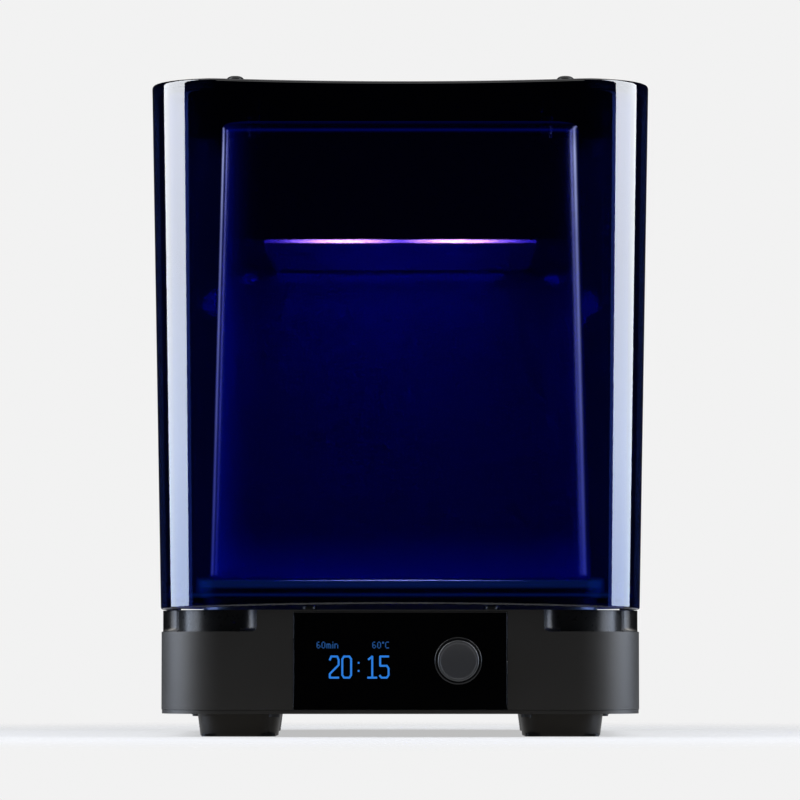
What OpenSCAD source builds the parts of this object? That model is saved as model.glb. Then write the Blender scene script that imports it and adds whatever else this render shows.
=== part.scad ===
// Desktop UV curing lamp for resin prints: a squat base with a control panel, a turntable
// over a ring of lamps, and a double-walled tinted hood that carries the upper lamp head and
// tips back on two rear hinges.
// Frame: origin on the table under the middle of the footprint, +Z up, front facing -Y.
// All sizes are in millimetres.

/* [Hood] */
// Width and depth of the hood across its top
hood_top_w = 263.2; // [258:0.2:266]
// Width and depth of the hood at its rim
hood_rim_w = 252.6; // [252:0.2:254]
// Height of the hood's top corners above the table
hood_top_z = 344.1; // [342:0.1:350]
// How far the top sags in its middle
hood_top_dip = 1.7; // [0.5:0.1:2.4]
// Thickness of the outer shell
hood_wall = 3.2; // [2.4:0.2:3.4]

/* [Base] */
// Width of the base
base_w = 252; // [250:0.2:252]
// Depth of the base
base_d = 250; // [249:0.5:250]
// Height of the base's top above the table
base_top_z = 66.3; // [66:0.1:66.4]
// Thickness of the base shell
base_wall = 3; // [2.4:0.2:3.4]
// Radius of the upright corners
corner_r = 34; // [30:1:36]
// Clearance under the base
foot_h = 12; // [10:1:12]
// Width of each foot at its top
foot_w = 44; // [40:1:46]

/* [Control panel] */
// Width of the gloss panel
panel_w = 111.2; // [108:0.2:112]
// Radius of the dial
dial_r = 10.7; // [9:0.1:10.8]
// Push travel of the dial
dial_travel = 0.8; // [0.4:0.1:1]

/* [Chamber] */
// Radius of the turntable
turntable_r = 95; // [85:1:96]
// Height of the turntable's top above the table
turntable_z = 82.3; // [82:0.1:83]
// Height of the lamp head's underside
lamp_z = 262.8; // [258:0.2:264]

/* [Hidden] */
$fn = 96;

// Hair gap between pieces that are fitted but must not overlap.
gap = 0.1;
// Reach of a cutting tool past the face that it opens.
over = 1;

// Hood: the outer shell leans outwards from its rim, and its front and back rims are relieved.
hood_rim_z = 66.6;
hood_relief_z = 69;
hood_relief_half = 122;
hood_roof = 4.6;
cap_x = 87.4;
cap_y = 120;
cap_r = 5;

// Liner: a tapered cup that narrows upwards, with a step that drops over the chamber deck and
// a flange that closes the air gap to the outer shell.
liner_t = 2;
liner_step_z = 81.6;
liner_top_z = 325.6;
liner_in_bottom = 201.2;
liner_in_top = 186;
liner_r = 16;
liner_c = 80;
hood_c = hood_rim_w/2 - corner_r;
skirt_in = 212;
flange_z = 72.5;
flange_t = 2.5;
flange_w = hood_rim_w - 2*hood_wall - 0.4;
liner_places = [[-117.5, -50], [117.5, -50], [-117.5, 50], [117.5, 50], [-24, 117.5], [24, 117.5]];

// Deck: the raised floor of the chamber, with a round well for the turntable.
deck_w = 208;
deck_r = 16;
deck_top_z = 79.6;
deck_t = 2;
well_r = 98;
well_z = 73.5;
vent_xy = 84;
vent_r = 10;

// Lower lamps.
lower_led_count = 5;
lower_led_ring = 60;
lower_window_r = 9;
lower_board_z = 64.5;
board_t = 1.6;

// Hinges.
hinge_x = 70;
hinge_y = 119.5;
hinge_z = 61;
hinge_pin_r = 2.5;
knuckle_r = 5.3;
arm_w = 30;
ear_w = 8.5;
bracket_w = 48;

// Feet: the rear pair stands a little wider than the front pair.
front_foot_x = 85;
rear_foot_x = 88;
foot_y = 84;

// Base shell details.
tray_t = 2;
shell_z = foot_h + tray_t + gap;
panel_half = panel_w/2;
panel_z0 = shell_z + 0.1;
panel_z1 = 65;
panel_t = 3;
window_gap = 0.3;
notch_depth = 9;
notch_z = 54.9;
notch_half = 74.8;
notch_round = 2.5;
boss_places = [[-108, -60], [108, -60], [-112, 20], [112, 20], [-30, 108], [30, 108], [-66, -112], [66, -112]];

// Dial and encoder, on one axis that runs into the panel.
dial_x = 30.2;
dial_z = 39.6;
dial_face_y = -131;
board_y = -106;
shaft_r = 3;

// Display window behind the gloss panel.
display_x = -24.4;
display_z = 39.8;

// Power board, and the height of its underside over the tray.
power_x = 40;
power_y = -48;
power_z = foot_h + tray_t + 6;

// Lamp head.
shroud_t = 1.6;
shroud_top_z = 317;
lens_w = 144.4;
lens_d = 176;
lens_lip = 3;
upper_board_z = lamp_z + 9.8;
heatsink_z = upper_board_z + board_t;
heatsink_t = 4;
fin_top_z = 308;
lamp_post_xy = 78;
shroud_post_x = 84;
shroud_post_y = 64;
upper_led_places = [
    [-29.5, -66], [29.5, -66], [-52, -22], [52, -22], [-52, 22], [52, 22], [-29.5, 66], [29.5, 66]
];

function hood_w(z) = hood_rim_w + (hood_top_w - hood_rim_w)*(z - hood_rim_z)/(hood_top_z - hood_rim_z);
function liner_in(z) = liner_in_bottom
    + (liner_in_top - liner_in_bottom)*(z - liner_step_z)/(liner_top_z - liner_t - liner_step_z);

// ---- Shared shapes ----

module rounded_rect(w, d, r) {
    square([w - 2*r, d], center = true);
    square([w, d - 2*r], center = true);
    for (sx = [-1, 1], sy = [-1, 1])
        translate([sx*(w/2 - r), sy*(d/2 - r)]) circle(r = r);
}

// A flat slab with round corners between two heights.
module slab(w, d, r, z0, z1) {
    translate([0, 0, z0]) linear_extrude(z1 - z0) rounded_rect(w, d, r);
}

// A block w0 wide at z0 and w1 wide at z1, whose round corners are upright cones at +-c.
module drafted(w0, w1, c, z0, z1) {
    h = z1 - z0;
    profile = [[-w0/2, 0], [w0/2, 0], [w1/2, h], [-w1/2, h]];
    for (turn = [0, 90]) translate([0, 0, z0]) rotate([90, 0, turn])
        translate([0, 0, -c]) linear_extrude(2*c) polygon(profile);
    for (quarter = [0:3]) rotate(90*quarter) translate([c, c, z0]) rotate_extrude(angle = 90)
        polygon([[0, 0], [w0/2 - c, 0], [w1/2 - c, h], [0, h]]);
}

// The wall of such a block, t thick, open at the top and bottom.
module drafted_wall(w0, w1, t, c, z0, z1) {
    h = z1 - z0;
    profile = [[w0/2 - t - c, 0], [w0/2 - c, 0], [w1/2 - c, h], [w1/2 - t - c, h]];
    for (quarter = [0:3]) rotate(90*quarter) translate([c, c, z0]) {
        rotate([90, 0, 0]) linear_extrude(2*c) polygon(profile);
        rotate_extrude(angle = 90) polygon(profile);
    }
}

module block(x0, x1, y0, y1, z0, z1) {
    translate([x0, y0, z0]) cube([x1 - x0, y1 - y0, z1 - z0]);
}

module rod_x(r, y, z, x0, x1) {
    translate([x0, y, z]) rotate([0, 90, 0]) cylinder(r = r, h = x1 - x0);
}

module rod_y(r, x, z, y0, y1) {
    translate([x, y0, z]) rotate([-90, 0, 0]) cylinder(r = r, h = y1 - y0);
}

module rod_z(r, x, y, z0, z1) {
    translate([x, y, z0]) cylinder(r = r, h = z1 - z0);
}

// Repeats its children at the four mirror places of one corner.
module at_corners(x, y) {
    for (sx = [-1, 1], sy = [-1, 1]) translate([sx*x, sy*y, 0]) children();
}

// Puts a mirrored copy of its children on the other side.
module both_sides() {
    children();
    mirror([1, 0, 0]) children();
}

// A pan-head screw that points down, with its head's underside at z.
module screw_down(x, y, z, r, length, head_r, head_h) {
    rod_z(r, x, y, z - length, z);
    difference() {
        rod_z(head_r, x, y, z, z + head_h);
        rod_z(head_r*0.42, x, y, z + head_h*0.45, z + head_h + over, $fn = 6);
    }
}

// The same screw pointing up, with its head's top at z.
module screw_up(x, y, z, r, length, head_r, head_h) {
    translate([x, y, z]) rotate([180, 0, 0]) screw_down(0, 0, 0, r, length, head_r, head_h);
}

// ---- Base ----

// One end of a corner recess: an upright round with its lower edge rounded off.
module notch_end(x, y) {
    translate([x, y, notch_z]) rotate_extrude() polygon([
        [0, 0],
        for (a = [0:15:90]) [notch_depth - notch_round*(1 - sin(a)), notch_round*(1 - cos(a))],
        [notch_depth, base_top_z - notch_z + over], [0, base_top_z - notch_z + over]
    ]);
}

// The corner recess for the fingers, which follows the base's round corner at a fixed depth
// and ends in a quarter round on the front and on the side.
module finger_notch() difference() {
    end = notch_half + notch_depth;
    union() {
        block(-base_w, -end, -base_d, -end, notch_z, base_top_z + over);
        notch_end(-end, -base_d/2);
        notch_end(-base_w/2, -end);
    }
    slab(base_w - 2*notch_depth, base_d - 2*notch_depth, corner_r - notch_depth,
        notch_z - over, base_top_z + 2*over);
}

module notch_liner() {
    translate([0, 0, notch_z - base_wall]) linear_extrude(base_top_z - notch_z + base_wall) intersection() {
        translate([-base_w/2, -base_d/2])
            square([base_w/2 - notch_half + base_wall, base_d/2 - notch_half + base_wall]);
        difference() {
            rounded_rect(base_w - 2*base_wall + over, base_d - 2*base_wall + over, corner_r - base_wall);
            rounded_rect(base_w - 2*notch_depth - 2*base_wall, base_d - 2*notch_depth - 2*base_wall,
                corner_r - notch_depth - base_wall);
        }
    }
}

module rear_grille() {
    for (row = [-3:3])
        block(-16, 16, base_d/2 - base_wall - over, base_d/2 + over, 38 + 5*row - 1.2, 38 + 5*row + 1.2);
}

module base_shell() color("#2b2b2c") difference() {
    union() {
        difference() {
            slab(base_w, base_d, corner_r, shell_z, base_top_z);
            slab(base_w - 2*base_wall, base_d - 2*base_wall, corner_r - base_wall,
                shell_z - over, base_top_z - base_wall);
        }
        both_sides() notch_liner();
        for (p = boss_places) rod_z(4, p[0], p[1], shell_z, base_top_z - base_wall);
        both_sides() for (dx = [-20, 20]) rod_z(4, hinge_x + dx, 103, 55.5, base_top_z - base_wall);
    }
    // Opening under the chamber deck, and the two corner air ways.
    rod_z(well_r - 1, 0, 0, base_top_z - base_wall - over, base_top_z + over);
    for (s = [-1, 1])
        rod_z(vent_r + 2.1, s*vent_xy, s*vent_xy, base_top_z - base_wall - over, base_top_z + over);
    // Window for the gloss panel, open at the bottom.
    block(-panel_half - window_gap, panel_half + window_gap, -base_d/2 - over, -base_d/2 + base_wall + over,
        shell_z - over, panel_z1 + window_gap);
    both_sides() finger_notch();
    // Slots for the hinges.
    both_sides() block(hinge_x - bracket_w/2 - 0.3, hinge_x + bracket_w/2 + 0.3, 109, base_d/2 + over,
        52.5, base_top_z + over);
    rear_grille();
    // Sockets in the back wall.
    rod_y(7.2, -60, 34, base_d/2 - base_wall - over, base_d/2 + over);
    block(54, 66.4, base_d/2 - base_wall - over, base_d/2 + over, 28, 39.4);
    // Screw holes for the tray, the deck, the hinges and the exhaust fan.
    for (p = boss_places) rod_z(1.5, p[0], p[1], shell_z - over, shell_z + 14);
    at_corners(96, 96) rod_z(1.5, 0, 0, base_top_z - base_wall - over, base_top_z + over);
    both_sides() for (dx = [-20, 20]) rod_z(1.5, hinge_x + dx, 103, 54, base_top_z - base_wall - 0.5);
    for (sx = [-1, 1], sz = [-1, 1]) rod_y(1.7, 16*sx, 38 + 16*sz, base_d/2 - base_wall - over, base_d/2 + over);
}

module at_power_posts() translate([power_x, power_y, 0]) at_corners(42, 28) children();

module base_tray() color("#252526") difference() {
    union() {
        slab(base_w - 0.5, base_d - 0.5, corner_r, foot_h, foot_h + tray_t);
        difference() {
            slab(base_w - 2*base_wall - 0.4, base_d - 2*base_wall - 0.4, corner_r - base_wall,
                foot_h + tray_t, foot_h + tray_t + 3);
            slab(base_w - 2*base_wall - 3.6, base_d - 2*base_wall - 3.6, corner_r - base_wall - 1.6,
                foot_h + tray_t - over, foot_h + tray_t + 3 + over);
            for (p = boss_places) rod_z(4.6, p[0], p[1], foot_h + tray_t, foot_h + tray_t + 4);
            both_sides() block(54, 78, -128, -104, foot_h + tray_t, foot_h + tray_t + 4);
            block(-panel_half - 1, panel_half + 1, -base_d/2, -base_d/2 + 8, foot_h + tray_t, foot_h + tray_t + 4);
        }
        at_power_posts() rod_z(3.5, 0, 0, foot_h + tray_t, power_z);
        // Posts under the warm fan.
        translate([-vent_xy, -vent_xy, 0]) at_corners(16, 16) rod_z(3.2, 0, 0, foot_h + tray_t, 28);
    }
    translate([-vent_xy, -vent_xy, 0]) at_corners(16, 16) rod_z(1.5, 0, 0, 18, 29);
    at_power_posts() rod_z(1.5, 0, 0, power_z - 5.5, power_z + over);
    for (p = boss_places) rod_z(1.7, p[0], p[1], foot_h - over, foot_h + tray_t + over);
    at_feet() rod_z(2.1, 0, 0, foot_h - over, foot_h + tray_t + over);
    // Intake slots.
    for (i = [-6:6]) block(9*i - 1.6, 9*i + 1.6, 22, 58, foot_h - over, foot_h + tray_t + over);
    for (i = [-6:6]) block(9*i - 1.6, 9*i + 1.6, -100, -84, foot_h - over, foot_h + tray_t + over);
}

// Puts its children at each foot.
module at_feet() both_sides() {
    translate([front_foot_x, -foot_y, 0]) children();
    translate([rear_foot_x, foot_y, 0]) children();
}

module foot_block() difference() {
    drafted(foot_w - 3, foot_w, foot_w/2 - 5, 1.5, foot_h);
    rod_z(2.1, 0, 0, -over, foot_h + over);
    rod_z(4.6, 0, 0, -over, 5);
}

module feet() color("#1f1f20") at_feet() foot_block();

module foot_pads() color("#121212") at_feet() difference() {
    slab(39, 39, 4, 0, 1.5);
    rod_z(4.6, 0, 0, -over, 1.5 + over);
}

module foot_screws() color("#8c8f94") at_feet() {
    screw_up(0, 0, 5, 2, 12, 4.2, 2.6);
    difference() {
        rod_z(3.8, 0, 0, foot_h + tray_t, foot_h + tray_t + 2.4, $fn = 6);
        rod_z(2, 0, 0, foot_h + tray_t - over, foot_h + tray_t + 2.4 + over);
    }
}

module tray_screws() color("#8c8f94") for (p = boss_places)
    screw_up(p[0], p[1], foot_h, 1.45, 12, 2.9, 1.8);

// ---- Control panel ----

module front_panel() color("#040405") difference() {
    block(-panel_half, panel_half, -base_d/2, -base_d/2 + panel_t, panel_z0, panel_z1);
    rod_y(12.35, dial_x, dial_z, -base_d/2 - over, -base_d/2 + panel_t + over);
}

module dial_bezel() color("#1a1a1b") difference() {
    union() {
        rod_y(12.3, dial_x, dial_z, -base_d/2 - 0.8, -base_d/2 + panel_t);
        rod_y(14, dial_x, dial_z, -base_d/2 + panel_t, -base_d/2 + panel_t + 1.2);
    }
    rod_y(dial_r + 0.35, dial_x, dial_z, -base_d/2 - over - 1, -base_d/2 + panel_t + 3);
}

module dial_cap() color("#222223") difference() {
    union() {
        difference() {
            rod_y(dial_r, dial_x, dial_z, dial_face_y, -base_d/2 + panel_t - 0.4);
            rod_y(dial_r - 1.6, dial_x, dial_z, dial_face_y + 2.2, -base_d/2 + panel_t);
        }
        rod_y(5, dial_x, dial_z, dial_face_y + 2, -base_d/2 + panel_t - 0.8);
    }
    rod_y(shaft_r, dial_x, dial_z, dial_face_y + 2.4, -base_d/2 + panel_t);
}

module encoder_shaft() color("#a9adb3")
    rod_y(shaft_r, dial_x, dial_z, dial_face_y + 2.4, board_y - 5.8);

module encoder_plunger() color("#d8d8d4")
    rod_y(2.6, dial_x, dial_z, board_y - 5.8, board_y - 3.2);

module encoder_body() color("#6d7075") difference() {
    union() {
        block(dial_x - 6.8, dial_x + 6.8, board_y - 6.8, board_y, dial_z - 6.8, dial_z + 6.8);
        rod_y(4.5, dial_x, dial_z, board_y - 12.5, board_y - 6.8);
    }
    rod_y(shaft_r + 0.05, dial_x, dial_z, board_y - 13.5, board_y - 1.6);
}

module display_module() {
    color("#0a0c12") block(display_x - 20.5, display_x + 20.5, -base_d/2 + panel_t, -base_d/2 + panel_t + 1.8,
        display_z - 12.5, display_z + 12.5);
    color("#1d5a34") block(display_x - 21, display_x + 21, -base_d/2 + panel_t + 1.8, -base_d/2 + panel_t + 3.2,
        display_z - 15, display_z + 15);
}

module control_board() color("#1d5a34") difference() {
    union() {
        block(-52, 52, board_y, board_y + board_t, 18, 61);
        // Processor, connectors and a buzzer on the back of the board.
        block(-12, 2, board_y + board_t, board_y + board_t + 1.4, 30, 44);
        for (i = [0:3]) block(-41 + 9*i, -34 + 9*i, board_y + board_t, board_y + board_t + 6, 50, 57);
        rod_y(5, 20, 27, board_y + board_t, board_y + board_t + 5);
        block(-36, -12, board_y - 5, board_y, 20.5, 24);
    }
    for (sx = [-1, 1], z = [21.5, 57.5]) rod_y(1.6, 48*sx, z, board_y - over, board_y + board_t + over);
}

module board_standoffs() color("#8c8f94") for (sx = [-1, 1], z = [21.5, 57.5]) {
    rod_y(2.8, 48*sx, z, -base_d/2 + panel_t, board_y, $fn = 6);
    rod_y(1.5, 48*sx, z, board_y, board_y + board_t);
    rod_y(2.7, 48*sx, z, board_y + board_t, board_y + board_t + 1.8);
}

// ---- Chamber floor and turntable ----

// The places of the lower lamps, and the places half-way between them.
module at_lower_leds(turn = 0) for (i = [0:lower_led_count - 1])
    rotate(90 + turn + 360/lower_led_count*i) translate([lower_led_ring, 0, 0]) children();
module at_lower_posts() at_lower_leds(180/lower_led_count) children();

module chamber_deck() color("#b9bdc6") difference() {
    union() {
        difference() {
            slab(deck_w, deck_w, deck_r, base_top_z, deck_top_z);
            difference() {
                slab(deck_w - 2*deck_t, deck_w - 2*deck_t, deck_r - deck_t, base_top_z - over, deck_top_z - deck_t);
                rod_z(well_r + deck_t, 0, 0, base_top_z - over*2, deck_top_z);
            }
            rod_z(well_r, 0, 0, well_z, deck_top_z + over);
            rod_z(well_r, 0, 0, base_top_z - over, well_z - deck_t);
        }
        // Corner bosses under the deck screws.
        at_corners(96, 96) rod_z(3.4, 0, 0, base_top_z, deck_top_z - 0.5);
        // Posts that carry the lower lamp board and the motor bracket.
        at_lower_posts() rod_z(3, 0, 0, lower_board_z + board_t, well_z - 0.5);
        at_corners(30, 18) rod_z(3, 0, 0, 58, well_z - 0.5);
    }
    // Pilot holes in the posts.
    at_lower_posts() rod_z(1.5, 0, 0, lower_board_z + over/2, well_z - deck_t + 0.3);
    at_corners(30, 18) rod_z(1.5, 0, 0, 57, 67);
    rod_z(9, 0, 0, base_top_z - over, well_z + over);
    at_lower_leds() rod_z(lower_window_r, 0, 0, well_z - deck_t - over, well_z + over);
    at_corners(96, 96) rod_z(1.6, 0, 0, base_top_z - over, deck_top_z + over);
    // Air grilles in two opposite corners.
    for (s = [-1, 1], i = [-2:2])
        block(s*vent_xy + 4*i - 1.1, s*vent_xy + 4*i + 1.1, s*vent_xy - 8 + abs(i), s*vent_xy + 8 - abs(i),
            deck_top_z - deck_t - over, deck_top_z + over);
    rod_z(2.1, 76, -40, well_z - deck_t - over, well_z + over);
}

module deck_screws() color("#8c8f94") at_corners(96, 96)
    screw_down(0, 0, deck_top_z, 1.45, 15.5, 2.8, 1.4);

module lower_led_board() color("#e4e6e2") difference() {
    rod_z(74, 0, 0, lower_board_z, lower_board_z + board_t);
    rod_z(44, 0, 0, lower_board_z - over, lower_board_z + board_t + over);
    at_lower_posts() rod_z(1.6, 0, 0, lower_board_z - over, lower_board_z + board_t + over);
}

// One power emitter on its square carrier, facing up from z.
module emitter(x, y, z) {
    block(x - 5, x + 5, y - 5, y + 5, z, z + 1);
    rod_z(3.4, x, y, z + 1, z + 1.8);
    intersection() {
        translate([x, y, z + 1.8]) sphere(r = 2.6);
        rod_z(3, x, y, z + 1.8, z + 5);
    }
}

module lower_leds() color("#efe6c4") at_lower_leds() emitter(0, 0, lower_board_z + board_t);

module lower_windows() color("#cfd6ff") at_lower_leds() {
    rod_z(lower_window_r - gap, 0, 0, well_z - deck_t, well_z);
    difference() {
        rod_z(lower_window_r + 1.5, 0, 0, well_z - deck_t - 1, well_z - deck_t);
        rod_z(lower_window_r - 1.5, 0, 0, well_z - deck_t - 2, well_z - deck_t + over);
    }
}

module lower_heatsink() color("#a7abb1") difference() {
    union() {
        difference() {
            rod_z(74, 0, 0, lower_board_z - 4, lower_board_z);
            rod_z(44, 0, 0, lower_board_z - 5, lower_board_z + over);
        }
        for (i = [0:29]) rotate(12*i) block(46, 72, -0.8, 0.8, 52, lower_board_z - 3.5);
    }
    at_lower_posts() rod_z(1.6, 0, 0, 50, lower_board_z + over);
}

module turntable_motor() color("#b4b7bb") difference() {
    union() {
        rod_z(25, 0, 0, 34, 56);
        // Mounting ears.
        both_sides() block(0, 36, -5, 5, 54, 56);
        rod_z(6, 0, 0, 56, 60);
        block(-9, 9, -32, -22, 36, 48);
    }
    rod_z(3.55, 0, 0, 38, 61);
    both_sides() rod_z(1.8, 31, 0, 50, 58);
}

module motor_bracket() color("#9a9da2") difference() {
    slab(80, 50, 8, 56, 58);
    rod_z(6.1, 0, 0, 50, 60);
    both_sides() rod_z(1.6, 31, 0, 50, 60);
    at_corners(30, 18) rod_z(1.6, 0, 0, 50, 60);
}

module motor_screws() color("#8c8f94") {
    both_sides() screw_up(31, 0, 54, 1.5, 6, 3, 2);
    at_corners(30, 18) screw_up(0, 0, 56, 1.5, 10, 3, 2);
    // Lower lamp board screws, below the heatsink plate.
    at_lower_posts() screw_up(0, 0, lower_board_z - 4, 1.5, 10, 3, 2);
}

module motor_shaft() color("#c9ccd0") rod_z(3.5, 0, 0, 40, 77);

module turntable_hub() color("#dcdde0") difference() {
    union() {
        rod_z(7, 0, 0, 66, 75);
        rod_z(18, 0, 0, 75, turntable_z - 4);
        rod_z(3.9, 0, 0, turntable_z - 4, turntable_z - 1);
    }
    rod_z(3.5, 0, 0, 60, 77);
}

module turntable_plate() color("#dfe6f2") difference() {
    rod_z(turntable_r, 0, 0, turntable_z - 4, turntable_z);
    rod_z(4, 0, 0, turntable_z - 5, turntable_z + over);
}

// ---- Air and sensing ----

// A square axial fan frame around Z, from z = 0 to depth, with its struts at the bottom.
module fan_frame(size, depth) {
    difference() {
        slab(size, size, 3, 0, depth);
        rod_z(size/2 - 1, 0, 0, -over, depth + over);
        at_corners(size/2 - 4, size/2 - 4) rod_z(1.6, 0, 0, -over, depth + over);
    }
    difference() {
        union() {
            rod_z(8.5, 0, 0, 0, 2);
            for (i = [0:3]) rotate(45 + 90*i) block(7, size/2 - 0.5, -1.3, 1.3, 0, 1.6);
        }
        rod_z(1.05, 0, 0, -over, 3);
    }
}

module warm_fan_place() { translate([-vent_xy, -vent_xy, 28]) children(); }
module exhaust_fan_place() { translate([0, base_d/2 - base_wall - gap, 38]) rotate([90, 0, 0]) children(); }

module warm_fan_frame() color("#1b1b1c") warm_fan_place() fan_frame(40, 10);
module warm_fan_rotor() color("#2a2a2c") warm_fan_place() rotor_in(40, 10);
module exhaust_fan_frame() color("#1b1b1c") exhaust_fan_place() fan_frame(40, 10);
module exhaust_fan_rotor() color("#2a2a2c") exhaust_fan_place() rotor_in(40, 10);

// Hub, pin and seven pitched blades that stay inside the frame's bore.
module rotor_in(size, depth) {
    rod_z(8.3, 0, 0, 2.5, depth - 0.6);
    rod_z(1, 0, 0, 0.3, 2.5);
    for (i = [0:6]) rotate(360/7*i) translate([7.9, 0, (depth + 2.3)/2]) rotate([40, 0, 0])
        translate([0, -3.8, -0.55]) cube([size/2 - 10, 7.6, 1.1]);
}

module air_heater() color("#8d8f93") translate([-vent_xy, -vent_xy, 0]) difference() {
    slab(40, 40, 3, 38, 52);
    for (i = [-4:4]) block(3*i - 0.9, 3*i + 0.9, -14, 14, 37, 53);
    at_corners(16, 16) rod_z(1.6, 0, 0, 37, 53);
}

module warm_duct() color("#3a3b3d") translate([-vent_xy, -vent_xy, 0]) difference() {
    union() {
        slab(40, 40, 3, 52, 54);
        rod_z(vent_r + 2, 0, 0, 52, deck_top_z - deck_t);
    }
    rod_z(vent_r + 0.6, 0, 0, 51, deck_top_z);
    at_corners(16, 16) rod_z(1.6, 0, 0, 51, 55);
}

// Long screws through the duct, heater and warm fan, and short ones for the exhaust fan.
module fan_screws() color("#8c8f94") {
    translate([-vent_xy, -vent_xy, 0]) at_corners(16, 16) screw_down(0, 0, 54, 1.5, 33, 2.8, 1.8);
    for (sx = [-1, 1], sz = [-1, 1]) translate([16*sx, base_d/2, 38 + 16*sz]) rotate([-90, 0, 0])
        screw_down(0, 0, 0, 1.5, 13, 2.9, 1.6);
}

module temperature_probe() color("#c9ccd0") {
    rod_z(2, 76, -40, 62, 76.5);
    rod_z(3.4, 76, -40, 68.5, well_z - deck_t);
}

// ---- Power and sockets ----

module power_board() color("#1d5a34") difference() {
    block(power_x - 48, power_x + 48, power_y - 34, power_y + 34, power_z, power_z + board_t);
    at_power_posts() rod_z(1.6, 0, 0, power_z - over, power_z + board_t + over);
}

// Capacitors, a coil, a heat spreader with four transistors, and three plugs.
module power_components() {
    z = power_z + board_t;
    translate([power_x, power_y, 0]) {
        color("#20304a") for (i = [0:2]) rod_z(5, -32 + 13*i, -24, z, z + 13);
        color("#6b4a1e") block(14, 38, -22, 0, z, z + 11);
        color("#a7abb1") block(-40, 4, 8, 12, z, z + 13);
        color("#161617") for (i = [0:3]) block(-38 + 11*i, -30 + 11*i, 3.4, 8, z, z + 11);
        color("#e8e4d8") for (i = [0:2]) block(16, 24, 8 + 8*i, 15 + 8*i, z, z + 7);
    }
    color("#8c8f94") at_power_posts() screw_down(0, 0, z, 1.5, 5, 2.8, 1.8);
}

module power_inlet() color("#18181a") difference() {
    union() {
        rod_y(7, -60, 34, base_d/2 - 14, base_d/2 - 0.2);
        rod_y(9.5, -60, 34, base_d/2 - base_wall - 2.2, base_d/2 - base_wall - gap);
    }
    difference() {
        rod_y(5.2, -60, 34, base_d/2 - 10, base_d/2 + over);
        for (sx = [-1, 1], sz = [-1, 1]) rod_y(0.7, -60 + 2*sx, 34 + 2*sz, base_d/2 - 11, base_d/2 - 2);
    }
}

module service_port() color("#b9bcc1") difference() {
    block(54.2, 66.2, base_d/2 - 16, base_d/2 - 0.4, 28.2, 39.2);
    difference() {
        block(55.2, 65.2, base_d/2 - 11, base_d/2 + over, 29.2, 38.2);
        block(57.2, 63.2, base_d/2 - 12, base_d/2 - 2, 32, 35.4);
    }
}

// ---- Hinges and hood sensing ----

module hinge_bracket() difference() {
    union() {
        block(hinge_x - bracket_w/2, hinge_x + bracket_w/2, 98, base_d/2, 53, 55.5);
        for (x = [hinge_x - bracket_w/2, hinge_x + bracket_w/2 - ear_w]) {
            block(x, x + ear_w, hinge_y - knuckle_r, hinge_y + knuckle_r, 55.5, hinge_z);
            rod_x(knuckle_r, hinge_y, hinge_z, x, x + ear_w);
        }
    }
    rod_x(hinge_pin_r, hinge_y, hinge_z, hinge_x - bracket_w, hinge_x + bracket_w);
    for (dx = [-20, 20]) rod_z(1.7, hinge_x + dx, 103, 50, 58);
}

module hinge_brackets() color("#7e8187") both_sides() hinge_bracket();

module hinge_screws() color("#8c8f94") both_sides() for (dx = [-20, 20])
    screw_up(hinge_x + dx, 103, 53, 1.45, 9.5, 3, 2);

module hinge_pins() color("#c9ccd0") both_sides()
    rod_x(hinge_pin_r, hinge_y, hinge_z, hinge_x - bracket_w/2, hinge_x + bracket_w/2);

module hinge_arm() difference() {
    union() {
        rod_x(knuckle_r, hinge_y, hinge_z, hinge_x - arm_w/2, hinge_x + arm_w/2);
        block(hinge_x - arm_w/2, hinge_x + arm_w/2, hinge_y - 5, hinge_y + 2, hinge_z, flange_z);
        block(hinge_x - arm_w/2, hinge_x + arm_w/2, hinge_y - 10.5, hinge_y + 2, flange_z - 2.5, flange_z);
        // Heel that lands on the bracket when the hood is fully open.
        block(hinge_x - arm_w/2, hinge_x + arm_w/2, hinge_y, hinge_y + 7, hinge_z - 0.2, hinge_z + 4);
    }
    rod_x(hinge_pin_r + 0.05, hinge_y, hinge_z, hinge_x - arm_w, hinge_x + arm_w);
    for (dx = [-10, 10]) rod_z(1.6, hinge_x + dx, hinge_y - 8, flange_z - 4, flange_z + over);
}

module hinge_arms() color("#7e8187") both_sides() {
    hinge_arm();
    // Rivets that hold the arm to the liner's flange.
    for (dx = [-10, 10]) {
        rod_z(1.6, hinge_x + dx, hinge_y - 8, flange_z - 2.5, flange_z + flange_t);
        rod_z(2.8, hinge_x + dx, hinge_y - 8, flange_z + flange_t, flange_z + flange_t + 1);
    }
}

module rim_bumpers() color("#101011") both_sides() rod_z(4, 47.6, -121, base_top_z, hood_relief_z - 0.5);

module hood_sensor() color("#202833") block(-7, 7, 108, 116, base_top_z - base_wall - 4, base_top_z - base_wall);

module hood_magnet() color("#b9bcc1") rod_z(4, 0, 114, flange_z - 3, flange_z);

// ---- Hood ----

// The shallow trough that the top sags into, as a bar that lies along Y.
module top_trough() {
    half = 100;
    translate([0, hood_top_w, hood_top_z]) rotate([90, 0, 0]) linear_extrude(2*hood_top_w)
        polygon([
            for (i = [-16:16]) [half*i/16, -hood_top_dip*(1 - pow(i/16, 2))],
            [half, 6], [-half, 6]
        ]);
}

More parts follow.
